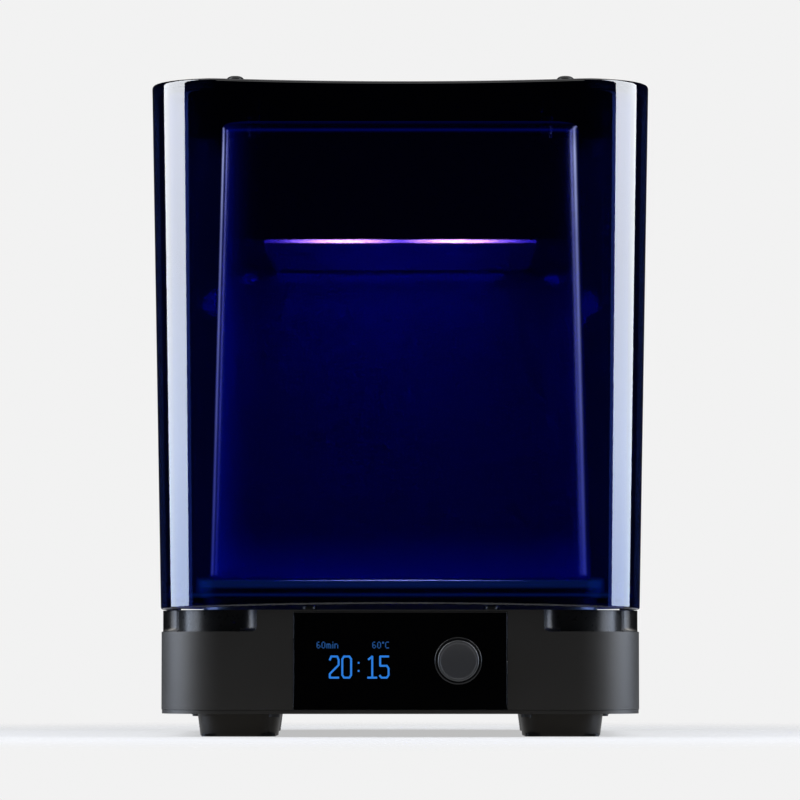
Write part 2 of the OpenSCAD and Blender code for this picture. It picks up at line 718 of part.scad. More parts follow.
// Everything below the rim, which arches up along the front and is relieved right round the back.
module rim_cut() {
    rise = hood_relief_z - hood_rim_z;
    block(-hood_top_w, hood_top_w, -hood_top_w, hood_top_w, hood_rim_z - 20, hood_rim_z);
    translate([0, -hood_rim_w/2 + 20, 0]) rotate([90, 0, 0]) linear_extrude(60) polygon([
        for (i = [-16:16]) [hood_relief_half*i/16, hood_rim_z + rise*(1 - pow(i/16, 2))],
        [hood_relief_half, hood_rim_z - 10], [-hood_relief_half, hood_rim_z - 10]
    ]);
    block(-hood_top_w, hood_top_w, 78, hood_top_w, hood_rim_z - 10, hood_relief_z);
}

// Bosses on the inner wall that the liner's flange is screwed up to.
module liner_bosses() for (p = liner_places) {
    to_side = abs(p[0]) > abs(p[1]);
    reach = to_side ? [sign(p[0])*7.2, 0] : [0, sign(p[1])*7.2];
    rod_z(3.2, p[0], p[1], flange_z + flange_t, flange_z + flange_t + 10);
    translate([p[0] + reach[0]/2, p[1] + reach[1]/2, flange_z + flange_t + 5])
        cube([to_side ? 7.2 : 6.4, to_side ? 6.4 : 7.2, 10], center = true);
}

module hood_shell() color("#0a1a6e") difference() {
    union() {
        drafted_wall(hood_rim_w, hood_w(hood_top_z - hood_roof), hood_wall, hood_c, hood_rim_z,
            hood_top_z - hood_roof);
        drafted(hood_w(hood_top_z - hood_roof), hood_top_w, hood_c, hood_top_z - hood_roof, hood_top_z);
        liner_bosses();
    }
    rim_cut();
    top_trough();
    at_corners(cap_x, cap_y) rod_z(2.1, 0, 0, hood_top_z - hood_roof - over, hood_top_z + over);
    for (p = liner_places) rod_z(1.25, p[0], p[1], flange_z, flange_z + flange_t + 8);
}

module hood_caps() color("#141016") at_corners(cap_x, cap_y) {
    rod_z(2, 0, 0, hood_top_z - hood_roof, hood_top_z);
    intersection() {
        translate([0, 0, hood_top_z - 2.8]) sphere(r = cap_r);
        rod_z(cap_r + 1, 0, 0, hood_top_z - 0.25, hood_top_z + 5);
    }
}

module hood_liner() color("#1a2a86") difference() {
    union() {
        drafted(liner_in(liner_step_z) + 2*liner_t, liner_in(liner_top_z) + 2*liner_t,
            liner_c, liner_step_z, liner_top_z);
        slab(skirt_in + 2*liner_t, skirt_in + 2*liner_t, liner_r + liner_t, flange_z, liner_step_z + liner_t);
        slab(flange_w, flange_w, corner_r - hood_wall, flange_z, flange_z + flange_t);
    }
    drafted(liner_in(liner_step_z - over), liner_in(liner_top_z - liner_t),
        liner_c, liner_step_z - over, liner_top_z - liner_t);
    slab(skirt_in, skirt_in, liner_r, flange_z - over, liner_step_z);
    for (p = liner_places) rod_z(1.6, p[0], p[1], flange_z - over, flange_z + flange_t + over);
    at_corners(lamp_post_xy, lamp_post_xy) rod_z(2.1, 0, 0, liner_top_z - liner_t - over, liner_top_z + over);
    both_sides() for (dx = [-10, 10])
        rod_z(1.6, hinge_x + dx, hinge_y - 8, flange_z - over, flange_z + flange_t + over);
}

module liner_screws() color("#8c8f94") for (p = liner_places)
    screw_up(p[0], p[1], flange_z, 1.25, 9, 2.5, 1.5);

module hood_seal() color("#2c2c2e") difference() {
    slab(deck_w, deck_w, deck_r, deck_top_z + 0.2, liner_step_z);
    slab(deck_w - 5, deck_w - 5, deck_r - 2.5, deck_top_z - over, liner_step_z + over);
    at_corners(96, 96) rod_z(3.2, 0, 0, deck_top_z, liner_step_z - 0.1);
}

// ---- Lamp head ----

module lamp_shroud() color("#0d0d12") difference() {
    union() {
        difference() {
            drafted(liner_in(lamp_z) - 2, liner_in(shroud_top_z) - 2, liner_c, lamp_z, shroud_top_z);
            drafted(liner_in(lamp_z) - 2 - 2*shroud_t, liner_in(shroud_top_z) - 2 - 2*shroud_t,
                liner_c, lamp_z + shroud_t, shroud_top_z + over);
        }
        at_corners(shroud_post_x, shroud_post_y) rod_z(3, 0, 0, lamp_z + shroud_t - 0.4, heatsink_z);
    }
    slab(lens_w + 0.4, lens_d + 0.4, 4, lamp_z - over, lamp_z + shroud_t + over);
    at_corners(shroud_post_x, shroud_post_y) rod_z(1.6, 0, 0, lamp_z - over, heatsink_z + over);
}

module lamp_lens() color("#d9ccff") {
    slab(lens_w, lens_d, 4, lamp_z - 1.8, lamp_z + shroud_t);
    slab(lens_w + 2*lens_lip, lens_d + 2*lens_lip, 5, lamp_z + shroud_t, lamp_z + shroud_t + 1.2);
}

module upper_led_board() color("#e4e6e2")
    slab(150, 152, 4, upper_board_z, upper_board_z + board_t);

module upper_leds() color("#efe6c4") for (p = upper_led_places)
    translate([p[0], p[1], upper_board_z]) rotate([180, 0, 0]) emitter(0, 0, 0);

module upper_heatsink() color("#a7abb1") difference() {
    union() {
        slab(176, 172, 6, heatsink_z, heatsink_z + heatsink_t);
        for (i = [-10:10]) block(6.6*i - 0.9, 6.6*i + 0.9, -66, 66, heatsink_z + heatsink_t - 0.5, fin_top_z);
    }
    at_corners(lamp_post_xy, lamp_post_xy) rod_z(1.7, 0, 0, heatsink_z - over, heatsink_z + heatsink_t + over);
    at_corners(shroud_post_x, shroud_post_y) rod_z(1.5, 0, 0, heatsink_z - over, heatsink_z + heatsink_t + over);
}

module lamp_standoffs() color("#8c8f94") at_corners(lamp_post_xy, lamp_post_xy) difference() {
    union() {
        rod_z(4, 0, 0, heatsink_z + heatsink_t, liner_top_z - liner_t);
        rod_z(1.65, 0, 0, heatsink_z - 1, heatsink_z + heatsink_t);
        rod_z(3.4, 0, 0, heatsink_z - 2.6, heatsink_z, $fn = 6);
    }
    rod_z(1.9, 0, 0, liner_top_z - 16, liner_top_z);
}

module lamp_screws() color("#9094a0") at_corners(lamp_post_xy, lamp_post_xy)
    screw_down(0, 0, liner_top_z, 1.9, 15, 3.7, 4.2);

module shroud_screws() color("#303036") at_corners(shroud_post_x, shroud_post_y)
    screw_up(0, 0, lamp_z, 1.45, heatsink_z - lamp_z + 3, 2.8, 1.6);

// ---- What is drawn ----

base_shell();
base_tray();
feet();
foot_pads();
foot_screws();
tray_screws();
front_panel();
dial_bezel();
display_module();
control_board();
board_standoffs();
encoder_body();
encoder_plunger();
encoder_shaft();
dial_cap();
chamber_deck();
deck_screws();
lower_led_board();
lower_leds();
lower_windows();
lower_heatsink();
turntable_motor();
motor_bracket();
motor_screws();
motor_shaft();
turntable_hub();
turntable_plate();
warm_fan_frame();
warm_fan_rotor();
air_heater();
warm_duct();
fan_screws();
temperature_probe();
exhaust_fan_frame();
exhaust_fan_rotor();
power_board();
power_components();
power_inlet();
service_port();
hinge_brackets();
hinge_screws();
hinge_pins();
rim_bumpers();
hood_sensor();
hood_shell();
hood_liner();
hood_seal();
hood_caps();
hood_magnet();
hinge_arms();
lamp_shroud();
lamp_lens();
upper_led_board();
upper_leds();
upper_heatsink();
lamp_standoffs();
lamp_screws();
shroud_screws();
liner_screws();
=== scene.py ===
"""Looks of a desktop UV curing lamp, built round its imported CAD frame, in metres."""
import math

import bmesh
import bpy
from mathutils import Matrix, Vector


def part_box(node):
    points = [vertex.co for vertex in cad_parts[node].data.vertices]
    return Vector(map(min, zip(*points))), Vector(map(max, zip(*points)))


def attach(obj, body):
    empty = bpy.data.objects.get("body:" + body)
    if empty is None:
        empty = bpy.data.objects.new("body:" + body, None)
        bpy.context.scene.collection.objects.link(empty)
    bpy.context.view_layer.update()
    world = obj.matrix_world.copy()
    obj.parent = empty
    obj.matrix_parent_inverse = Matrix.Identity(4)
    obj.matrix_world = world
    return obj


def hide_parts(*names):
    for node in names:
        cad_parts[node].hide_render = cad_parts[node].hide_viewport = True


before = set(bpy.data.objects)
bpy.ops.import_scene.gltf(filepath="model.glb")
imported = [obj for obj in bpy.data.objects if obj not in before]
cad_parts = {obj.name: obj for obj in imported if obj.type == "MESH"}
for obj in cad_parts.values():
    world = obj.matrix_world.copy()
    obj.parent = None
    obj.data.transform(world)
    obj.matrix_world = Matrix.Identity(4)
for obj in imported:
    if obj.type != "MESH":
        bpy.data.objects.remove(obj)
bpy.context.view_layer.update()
MM = 0.001

# ---- Driving sizes: read from the CAD boxes, or chosen to follow the CAD source ----

hood_low, hood_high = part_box("hood_shell")
liner_low, liner_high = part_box("hood_liner")
base_low, base_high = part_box("base_shell")
panel_low, panel_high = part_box("front_panel")
lens_low, lens_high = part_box("lamp_lens")
dial_low, dial_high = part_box("dial_cap")
bezel_low, bezel_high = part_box("dial_bezel")
table_low, table_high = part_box("turntable_plate")

# The hood's half widths at its top and its rim, the centres of its round corners, and its walls.
HOOD_TOP = hood_high.x
TOP_Z = hood_high.z
HOOD_RIM = 126.3 * MM
HOOD_CORNER = 92.3 * MM
HOOD_WALL = 3.2 * MM
HOOD_ROOF = 4.6 * MM
# The sag across its top and the arch of its rim, each with its half width.
TOP_DIP = 1.7 * MM
TOP_DIP_HALF = 100 * MM
RIM_RISE = 2.4 * MM
RIM_ARCH_HALF = 122 * MM
# The notches in the base's front corners.
NOTCH_FLOOR = 54.9 * MM
NOTCH_HALF = 74.8 * MM
# The liner's leaning walls, the step to its skirt, and its flange. The step is drawn in a little from
# the CAD solid, as in the photo.
LINER_CORNER = 80 * MM
LINER_WALL = 2 * MM
LINER_STEP_HALF = 99.2 * MM
LINER_STEP_Z = 81.6 * MM
LINER_TOP_HALF = 93 * MM
LINER_TOP = liner_high.z
SKIRT_HALF = 106 * MM
SKIRT_CORNER = 90 * MM
FLANGE_HALF = liner_high.x
FLANGE_LOW = liner_low.z
FLANGE_HIGH = FLANGE_LOW + 2.5 * MM
# How far the two bright spots of the lamp head stand from its middle.
EMITTER_X = 29.5 * MM
# Half width and corner centre of the small square at the middle of a roof, where its skin closes.
MIDDLE_HALF = 2 * MM
MIDDLE_CENTRE = 1.4 * MM

# ---- Mesh helpers ----

# Points round a square's corner, along its side and round a fillet, and the longest step of an outline.
CORNER_STEPS = 28
SIDE_STEPS = 20
FILLET_STEPS = 5
SKIN_STEP = 9 * MM
LATHE_STEP = 4 * MM
# Edges over these angles are shaded sharp or rounded off, and faces under the last are merged.
SHARP_DEGREES = 35
BEVEL_DEGREES = 32
FLAT_DEGREES = 0.6


def add_piece(name, mesh, body, material, stands_for=()):
    """Puts a finished mesh in the scene, on its body, with its material."""
    piece = bpy.data.objects.new(name, mesh)
    bpy.context.scene.collection.objects.link(piece)
    mesh.materials.clear()
    mesh.materials.append(material)
    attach(piece, body)
    if stands_for:
        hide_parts(*stands_for)
    return piece


def smooth(mesh):
    """Smooth shading everywhere but across sharp edges."""
    for polygon in mesh.polygons:
        polygon.use_smooth = True
    mesh.set_sharp_from_angle(angle=math.radians(SHARP_DEGREES))


def square_turn(half, centre, z):
    """The points of one turn round a square whose round corners are centred at +-centre."""
    radius = half - centre

    def corner_point(signs, a):
        sx, sy = signs
        return Vector((sx * centre + radius * math.cos(a), sy * centre + radius * math.sin(a), z))

    turn = []
    corners = [(1, 1), (-1, 1), (-1, -1), (1, -1)]
    for quarter, signs in enumerate(corners):
        first = quarter * math.pi / 2
        last = first + math.pi / 2
        for k in range(CORNER_STEPS + 1):
            turn.append(corner_point(signs, first + k / CORNER_STEPS * math.pi / 2))
        start, end = turn[-1], corner_point(corners[(quarter + 1) % 4], last)
        turn += [start.lerp(end, k / SIDE_STEPS) for k in range(1, SIDE_STEPS)]
    return turn


def skin(name, rows):
    """A closed mesh through rows of points, each row a turn of the same length."""
    count = len(rows[0])
    verts = [p for row in rows for p in row]
    faces = []
    for r in range(len(rows) - 1):
        for k in range(count):
            n = (k + 1) % count
            faces.append((r * count + k, r * count + n, (r + 1) * count + n, (r + 1) * count + k))
    faces.append(tuple(reversed(range(count))))
    faces.append(tuple((len(rows) - 1) * count + k for k in range(count)))
    mesh = bpy.data.meshes.new(name)
    mesh.from_pydata(verts, [], faces)
    shape = bmesh.new()
    shape.from_mesh(mesh)
    bmesh.ops.recalc_face_normals(shape, faces=shape.faces)
    shape.to_mesh(mesh)
    shape.free()
    smooth(mesh)
    return mesh


def rounded(corners, longest=SKIN_STEP):
    """A path through corners, each (point, fillet): corners are curved and no step is too long."""
    path = [Vector(corners[0][0])]
    for (before, _), (corner, fillet), (after, _) in zip(corners, corners[1:], corners[2:]):
        before, corner, after = Vector(before), Vector(corner), Vector(after)
        if fillet <= 0:
            path.append(corner)
            continue
        a = corner + (before - corner).normalized() * fillet
        b = corner + (after - corner).normalized() * fillet
        for k in range(FILLET_STEPS + 1):
            t = k / FILLET_STEPS
            path.append(a * (1 - t) ** 2 + corner * 2 * t * (1 - t) + b * t * t)
    path.append(Vector(corners[-1][0]))
    fine = [path[0]]
    for p in path[1:]:
        parts = max(1, math.ceil((p - fine[-1]).length / longest))
        start = fine[-1].copy()
        fine += [start.lerp(p, k / parts) for k in range(1, parts + 1)]
    return fine


def square_skin(name, corners, shift=None):
    """A closed shell whose outline holds (half width, corner centre, height). shift lifts a point."""
    rows = []
    for half, centre, z in rounded(corners):
        row = square_turn(half, centre, z)
        if shift:
            for p in row:
                p.z += shift(p)
        rows.append(row)
    return skin(name, rows)


def turned(name, corners, place, axis="z", segments=72):
    """A lathed piece: its outline holds (radius, 0, distance along the axis from place)."""
    rows = []
    for radius, _, along in rounded(corners, LATHE_STEP):
        row = []
        for k in range(segments):
            a = 2 * math.pi * k / segments
            across = Vector((math.cos(a), math.sin(a))) * max(radius, 1e-5)
            if axis == "z":
                row.append(Vector(place) + Vector((across.x, across.y, along)))
            else:
                row.append(Vector(place) + Vector((across.x, -along, across.y)))
        rows.append(row)
    return skin(name, rows)


def softened(node, body, material, width):
    """A copy of a CAD node with its sharp edges rounded, which stands in for the node."""
    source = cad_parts[node]
    mesh = source.data.copy()
    shape = bmesh.new()
    shape.from_mesh(mesh)
    bmesh.ops.remove_doubles(shape, verts=shape.verts, dist=0.002 * MM)
    bmesh.ops.dissolve_limit(shape, angle_limit=math.radians(FLAT_DEGREES), verts=shape.verts,
                             edges=shape.edges)
    shape.to_mesh(mesh)
    shape.free()
    if "custom_normal" in mesh.attributes:
        mesh.attributes.remove(mesh.attributes["custom_normal"])
    for polygon in mesh.polygons:
        polygon.use_smooth = True
    piece = add_piece(node + "_fine", mesh, body, material, [node])
    bevel = piece.modifiers.new("edges", "BEVEL")
    bevel.width = width
    bevel.segments = 3
    bevel.limit_method = "ANGLE"
    bevel.angle_limit = math.radians(BEVEL_DEGREES)
    bevel.harden_normals = True
    bevel.use_clamp_overlap = True
    return piece


# ---- Materials ----


def blank(name):
    """A new material, with its nodes, its links and its Principled surface."""
    material = bpy.data.materials.new(name)
    material.use_nodes = True
    tree = material.node_tree
    return material, tree.nodes, tree.links, tree.nodes["Principled BSDF"]


def noise(nodes, links, scale, detail=3.0):
    """Object-space noise, so the grain stays with the piece."""
    place = nodes.new("ShaderNodeTexCoord")
    texture = nodes.new("ShaderNodeTexNoise")
    texture.inputs["Scale"].default_value = scale
    texture.inputs["Detail"].default_value = detail
    texture.inputs["Roughness"].default_value = 0.55
    links.new(place.outputs["Object"], texture.inputs["Vector"])
    return texture.outputs["Fac"]


def spread(nodes, links, value, low, high):
    """Maps noise, which keeps near its middle, to a range."""
    ranged = nodes.new("ShaderNodeMapRange")
    ranged.inputs["From Min"].default_value = 0.3
    ranged.inputs["From Max"].default_value = 0.7
    ranged.inputs["To Min"].default_value = low
    ranged.inputs["To Max"].default_value = high
    links.new(value, ranged.inputs["Value"])
    return ranged.outputs["Result"]


def shades(nodes, links, value, dark, light):
    """A colour that runs from dark to light with the value."""
    ramp = nodes.new("ShaderNodeValToRGB")
    ramp.color_ramp.elements[0].position = 0.32
    ramp.color_ramp.elements[0].color = (*dark, 1)
    ramp.color_ramp.elements[1].position = 0.68
    ramp.color_ramp.elements[1].color = (*light, 1)
    links.new(value, ramp.inputs["Fac"])
    return ramp.outputs["Color"]


def lift(nodes, links, value, strength, distance):
    """A bumped normal, raised where the value is high."""
    bump = nodes.new("ShaderNodeBump")
    bump.inputs["Strength"].default_value = strength
    bump.inputs["Distance"].default_value = distance
    links.new(value, bump.inputs["Height"])
    return bump.outputs["Normal"]


def finish(name, colour, roughness, metal=0.0, vary=0.12, patch=45.0, grain=1600.0, bump=0.1,
           depth=0.02 * MM, specular=0.5, tint=(1, 1, 1)):
    """A solid finish: its colour and roughness wander in patches, and a fine grain lifts it."""
    material, nodes, links, surface = blank(name)
    patches = noise(nodes, links, patch, 4.0)
    fine = noise(nodes, links, grain, 2.0)
    dark = [c * (1 - vary) for c in colour]
    light = [min(1.0, c * (1 + vary)) for c in colour]
    links.new(shades(nodes, links, patches, dark, light), surface.inputs["Base Color"])
    rough = spread(nodes, links, fine, roughness * 0.86, min(1.0, roughness * 1.14))
    links.new(rough, surface.inputs["Roughness"])
    surface.inputs["Metallic"].default_value = metal
    surface.inputs["Specular IOR Level"].default_value = specular
    surface.inputs["Specular Tint"].default_value = (*tint, 1)
    if bump:
        links.new(lift(nodes, links, fine, bump, depth), surface.inputs["Normal"])
    return material


def brushed(name, colour, roughness, stretch=(1, 1, 60)):
    """Metal with fine lines drawn across one axis, the one with the large stretch."""
    material, nodes, links, surface = blank(name)
    place = nodes.new("ShaderNodeTexCoord")
    squeeze = nodes.new("ShaderNodeMapping")
    squeeze.inputs["Scale"].default_value = stretch
    lines = nodes.new("ShaderNodeTexNoise")
    lines.inputs["Scale"].default_value = 60.0
    lines.inputs["Detail"].default_value = 5.0
    links.new(place.outputs["Object"], squeeze.inputs["Vector"])
    links.new(squeeze.outputs["Vector"], lines.inputs["Vector"])
    value = lines.outputs["Fac"]
    dark = [c * 0.85 for c in colour]
    links.new(shades(nodes, links, value, dark, colour), surface.inputs["Base Color"])
    rough = spread(nodes, links, value, roughness * 0.8, roughness * 1.2)
    links.new(rough, surface.inputs["Roughness"])
    links.new(lift(nodes, links, value, 0.08, 0.02 * MM), surface.inputs["Normal"])
    surface.inputs["Metallic"].default_value = 1.0
    return material


def calculate(nodes, links, operation, a, b=None):
    """One Math node; each side is a number or a socket."""
    node = nodes.new("ShaderNodeMath")
    node.operation = operation
    for socket, value in zip(node.inputs, (a, b)):
        if isinstance(value, (int, float)):
            socket.default_value = value
        elif value is not None:
            links.new(value, socket)
    return node.outputs["Value"]


def coordinates(nodes, links):
    """The place and the normal in the piece's own frame, each split in three sockets."""
    place = nodes.new("ShaderNodeTexCoord")
    split = []
    for output in ("Object", "Normal"):
        parts = nodes.new("ShaderNodeSeparateXYZ")
        links.new(place.outputs[output], parts.inputs["Vector"])
        split.append((parts.outputs["X"], parts.outputs["Y"], parts.outputs["Z"]))
    return split


def product(nodes, links, *values):
    """The product of numbers and sockets."""
    result = values[0]
    for value in values[1:]:
        result = calculate(nodes, links, "MULTIPLY", result, value)
    return result


def total(nodes, links, *values):
    """The sum of numbers and sockets."""
    result = values[0]
    for value in values[1:]:
        result = calculate(nodes, links, "ADD", result, value)
    return result


def bell(nodes, links, value, centre, width):
    """A bell curve of height 1, whose width is its standard deviation."""
    away = calculate(nodes, links, "SUBTRACT", value, centre)
    squared = calculate(nodes, links, "MULTIPLY", away, away)
    return calculate(nodes, links, "POWER", math.e, product(nodes, links, squared, -0.5 / width ** 2))


def between(nodes, links, value, start, end):
    """A smooth step from 0 at start to 1 at end, either way round."""
    step = nodes.new("ShaderNodeMapRange")
    step.interpolation_type = "SMOOTHSTEP"
    step.inputs["From Min"].default_value = min(start, end)
    step.inputs["From Max"].default_value = max(start, end)
    step.inputs["To Min"].default_value = 0.0 if start < end else 1.0
    step.inputs["To Max"].default_value = 1.0 if start < end else 0.0
    links.new(value, step.inputs["Value"])
    return step.outputs["Result"]


def profile(nodes, links, value, stops):
    """A smooth curve through stops, each (value, height)."""
    low, high = stops[0][0], stops[-1][0]
    above = calculate(nodes, links, "SUBTRACT", value, low)
    share = calculate(nodes, links, "DIVIDE", above, high - low)
    ramp = nodes.new("ShaderNodeValToRGB")
    ramp.color_ramp.interpolation = "EASE"
    points = ramp.color_ramp.elements
    while len(points) < len(stops):
        points.new(0.5)
    for point, (at, height) in zip(points, stops):
        point.position = (at - low) / (high - low)
        point.color = (height, height, height, 1)
    links.new(share, ramp.inputs["Fac"])
    return ramp.outputs["Color"]


def shine(nodes, links, surface, red, green, blue, strength):
    """Makes the surface give off light of its own, from three sockets."""
    colour = nodes.new("ShaderNodeCombineColor")
    for name, value in (("Red", red), ("Green", green), ("Blue", blue)):
        links.new(value, colour.inputs[name])
    links.new(colour.outputs["Color"], surface.inputs["Emission Color"])
    surface.inputs["Emission Strength"].default_value = strength


def gloss_share(nodes, links):
    """How much a clear surface mirrors, alike from both sides, growing towards grazing views."""
    head_on = 0.04
    layer = nodes.new("ShaderNodeLayerWeight")
    layer.inputs["Blend"].default_value = 0.5
    grazing = calculate(nodes, links, "POWER", layer.outputs["Facing"], 5.0)
    rise = calculate(nodes, links, "MULTIPLY", grazing, 1 - head_on)
    return calculate(nodes, links, "ADD", rise, head_on)


def painted_shade_top(nodes, links, painted_shade_above):
    """How much painted shade darkens the hood's top, standing in for the shade seen up under its roof.
    From the first height to the second it grows to full in the middle of the walls and to little at
    their sides, and the roof is mostly opaque."""
    (x, _, height), _ = coordinates(nodes, links)
    start, end = painted_shade_above
    middle = between(nodes, links, calculate(nodes, links, "ABSOLUTE", x), 114 * MM, 94 * MM)
    share = total(nodes, links, product(nodes, links, middle, 0.75), 0.25)
    walls = product(nodes, links, between(nodes, links, height, start, end), share)
    roof = product(nodes, links, between(nodes, links, height, end - 2 * MM, end + 2 * MM), 0.8)
    return calculate(nodes, links, "MAXIMUM", walls, roof)


def tinted(name, passed, body_dark, body_light, cover, roughness, painted_shade_above=None, glow=None):
    """Tinted clear plastic. passed is what one wall, two faces thick, lets through. cover is the share
    of the light that meets the plastic's own cloudy body, and the gloss on top follows the angle.
    Between the two heights of its painted-shade argument it turns opaque black, a painted shade, and
    glow adds
    painted light: emission that stands in for highlights and light carried in the plastic."""
    material, nodes, links, surface = blank(name)
    clear = nodes.new("ShaderNodeBsdfTransparent")
    through = [math.sqrt(c) for c in passed]
    clear.inputs["Color"].default_value = (*through, 1)
    # Painted shade: towards the top the see-through tint gives way to opaque black, standing in for the
    # shade under the roof.
    if painted_shade_above:
        ramp = nodes.new("ShaderNodeValToRGB")
        ramp.color_ramp.elements[0].color = (*through, 1)
        ramp.color_ramp.elements[1].color = (0, 0, 0, 1)
        links.new(painted_shade_top(nodes, links, painted_shade_above), ramp.inputs["Fac"])
        links.new(ramp.outputs["Color"], clear.inputs["Color"])
    # Painted light: the plastic gives off light though it is no lamp.
    if glow:
        shine(nodes, links, surface, *glow(nodes, links), 1 / cover)
    depth = noise(nodes, links, 14.0, 2.0)
    links.new(shades(nodes, links, depth, body_dark, body_light), surface.inputs["Base Color"])
    surface.inputs["Roughness"].default_value = 0.6
    surface.inputs["Specular IOR Level"].default_value = 0.0
    inside = nodes.new("ShaderNodeMixShader")
    inside.inputs["Fac"].default_value = cover
    links.new(clear.outputs["BSDF"], inside.inputs[1])
    links.new(surface.outputs["BSDF"], inside.inputs[2])
    gloss = nodes.new("ShaderNodeBsdfAnisotropic")
    gloss.inputs["Color"].default_value = (1, 1, 1, 1)
    fine = noise(nodes, links, 320.0)
    rough = spread(nodes, links, fine, roughness * 0.8, roughness * 1.25)
    links.new(rough, gloss.inputs["Roughness"])
    outside = nodes.new("ShaderNodeMixShader")
    links.new(gloss_share(nodes, links), outside.inputs["Fac"])
    links.new(inside.outputs["Shader"], outside.inputs[1])
    links.new(gloss.outputs["BSDF"], outside.inputs[2])
    links.new(outside.outputs["Shader"], nodes["Material Output"].inputs["Surface"])
    return material


def glowing(name, colour, strength, base=(0.5, 0.5, 0.6), roughness=0.4):
    """An even glow with a faint grain."""
    material, nodes, links, surface = blank(name)
    grain = noise(nodes, links, 500.0)
    dark = [c * 0.9 for c in colour]
    links.new(shades(nodes, links, grain, dark, colour), surface.inputs["Emission Color"])
    surface.inputs["Emission Strength"].default_value = strength
    surface.inputs["Base Color"].default_value = (*base, 1)
    surface.inputs["Roughness"].default_value = roughness
    return material


# Height, and how bright the painted highlight lines down the liner's front corners are there.
LINER_PAINTED_LINE_HEIGHTS = [
    (88 * MM, 0.06), (139 * MM, 0.12), (181 * MM, 0.22), (224 * MM, 0.33), (262 * MM, 0.45),
    (288 * MM, 0.75), (309 * MM, 1.0), (322 * MM, 0.6), (327 * MM, 0.1),
]


def liner_painted_light(nodes, links):
    """Painted light on the liner, which is no lamp: highlights down its front corners and along the
    front edges of its top, skirt and flange, and a painted glow low in its walls. A mask picks each
    part by its place and its direction."""
    (x, y, z), (nx, ny, _) = coordinates(nodes, links)

    def step(value, start, end):
        return between(nodes, links, value, start, end)

    def peak(value, centre, width):
        return bell(nodes, links, value, centre, width)

    def times(*values):
        return product(nodes, links, *values)

    sideways = calculate(nodes, links, "ABSOLUTE", nx)
    off = calculate(nodes, links, "ABSOLUTE", x)
    front = step(y, -76 * MM, -80 * MM)
    height = profile(nodes, links, z, LINER_PAINTED_LINE_HEIGHTS)
    left_line = times(peak(sideways, 0.92, 0.025), step(x, 10 * MM, -10 * MM))
    right_line = times(peak(sideways, 0.82, 0.035), step(x, -10 * MM, 10 * MM))
    line = times(total(nodes, links, left_line, right_line), front, step(z, 84 * MM, 86 * MM))
    crisp = times(line, height)
    blurred = times(step(sideways, 0.55, 0.95), front)
    top_edge = step(z, LINER_TOP - 0.9 * MM, LINER_TOP - 0.4 * MM)
    under_edge = peak(z, LINER_TOP - 4.8 * MM, 0.5 * MM)
    top_lines = times(front, total(nodes, links, top_edge, under_edge))
    outward = times(front, step(ny, -0.3, -0.6))
    skirt = times(outward, step(z, 77.0 * MM, 79.0 * MM), step(z, 82.6 * MM, 81.6 * MM))
    skirt_corner = times(front, step(off, 97 * MM, 101 * MM), step(z, 84 * MM, 83 * MM))
    flange = times(outward, peak(z, FLANGE_LOW + 1.6 * MM, 0.5 * MM))
    low_painted_glow = times(step(z, 112 * MM, 84 * MM), step(z, LINER_STEP_Z, LINER_STEP_Z + 3 * MM))
    left = times(front, peak(x, -95 * MM, 6.5 * MM), step(z, 84 * MM, 90 * MM))
    # Each mask of painted light, and the red, green and blue of that light.
    parts = (
        (crisp, (33.0, 20.0, 5.2)),
        (line, (0.0, 0.25, 1.6)),
        (blurred, (0.0, 0.03, 0.20)),
        (top_lines, (0.0, 0.05, 0.40)),
        (skirt, (0.06, 0.21, 0.28)),
        (skirt_corner, (0.005, 0.11, 0.13)),
        (flange, (0.02, 0.15, 0.28)),
        (low_painted_glow, (0.004, 0.010, 0.22)),
        (left, (0.0, 0.015, 0.20)),
    )
    return [
        total(nodes, links, *(times(mask, colour[channel]) for mask, colour in parts))
        for channel in range(3)
    ]


def hood_side_painted_glow(nodes, links):
    """A painted blue glow on the hood's sides, where they face sideways, standing in for light caught
    in the plastic.
    """
    nx = coordinates(nodes, links)[1][0]
    sides = between(nodes, links, calculate(nodes, links, "ABSOLUTE", nx), 0.85, 0.97)
    red, green, blue = 0.0, 0.0008, 0.005
    return [product(nodes, links, sides, share) for share in (red, green, blue)]


def table_painted_highlight(nodes, links):
    """A painted highlight and glow along the front of the turntable's rim, most at its top edge, for
    the lamp head's light; it is fixed in the plate's own frame.
    """
    (x, y, z), _ = coordinates(nodes, links)
    squares = total(nodes, links, product(nodes, links, x, x), product(nodes, links, y, y))
    across = calculate(nodes, links, "SQRT", squares)
    outer = between(nodes, links, across, table_high.x - 1.2 * MM, table_high.x - 0.5 * MM)
    rim = product(nodes, links, outer, between(nodes, links, y, -30 * MM, -60 * MM))
    top = between(nodes, links, z, table_high.z - 0.9 * MM, table_high.z - 0.4 * MM)
    edge = product(nodes, links, rim, top)
    # Per colour: the painted highlight's strength and width at the top edge, and the even painted glow
    # along the rim.
    return [
        total(nodes, links, product(nodes, links, edge, peak, bell(nodes, links, x, 0.0, width)),
              product(nodes, links, rim, low))
        for peak, width, low in ((110.0, 38 * MM, 0.6), (72.0, 40 * MM, 1.1), (18.0, 56 * MM, 0.6))
    ]


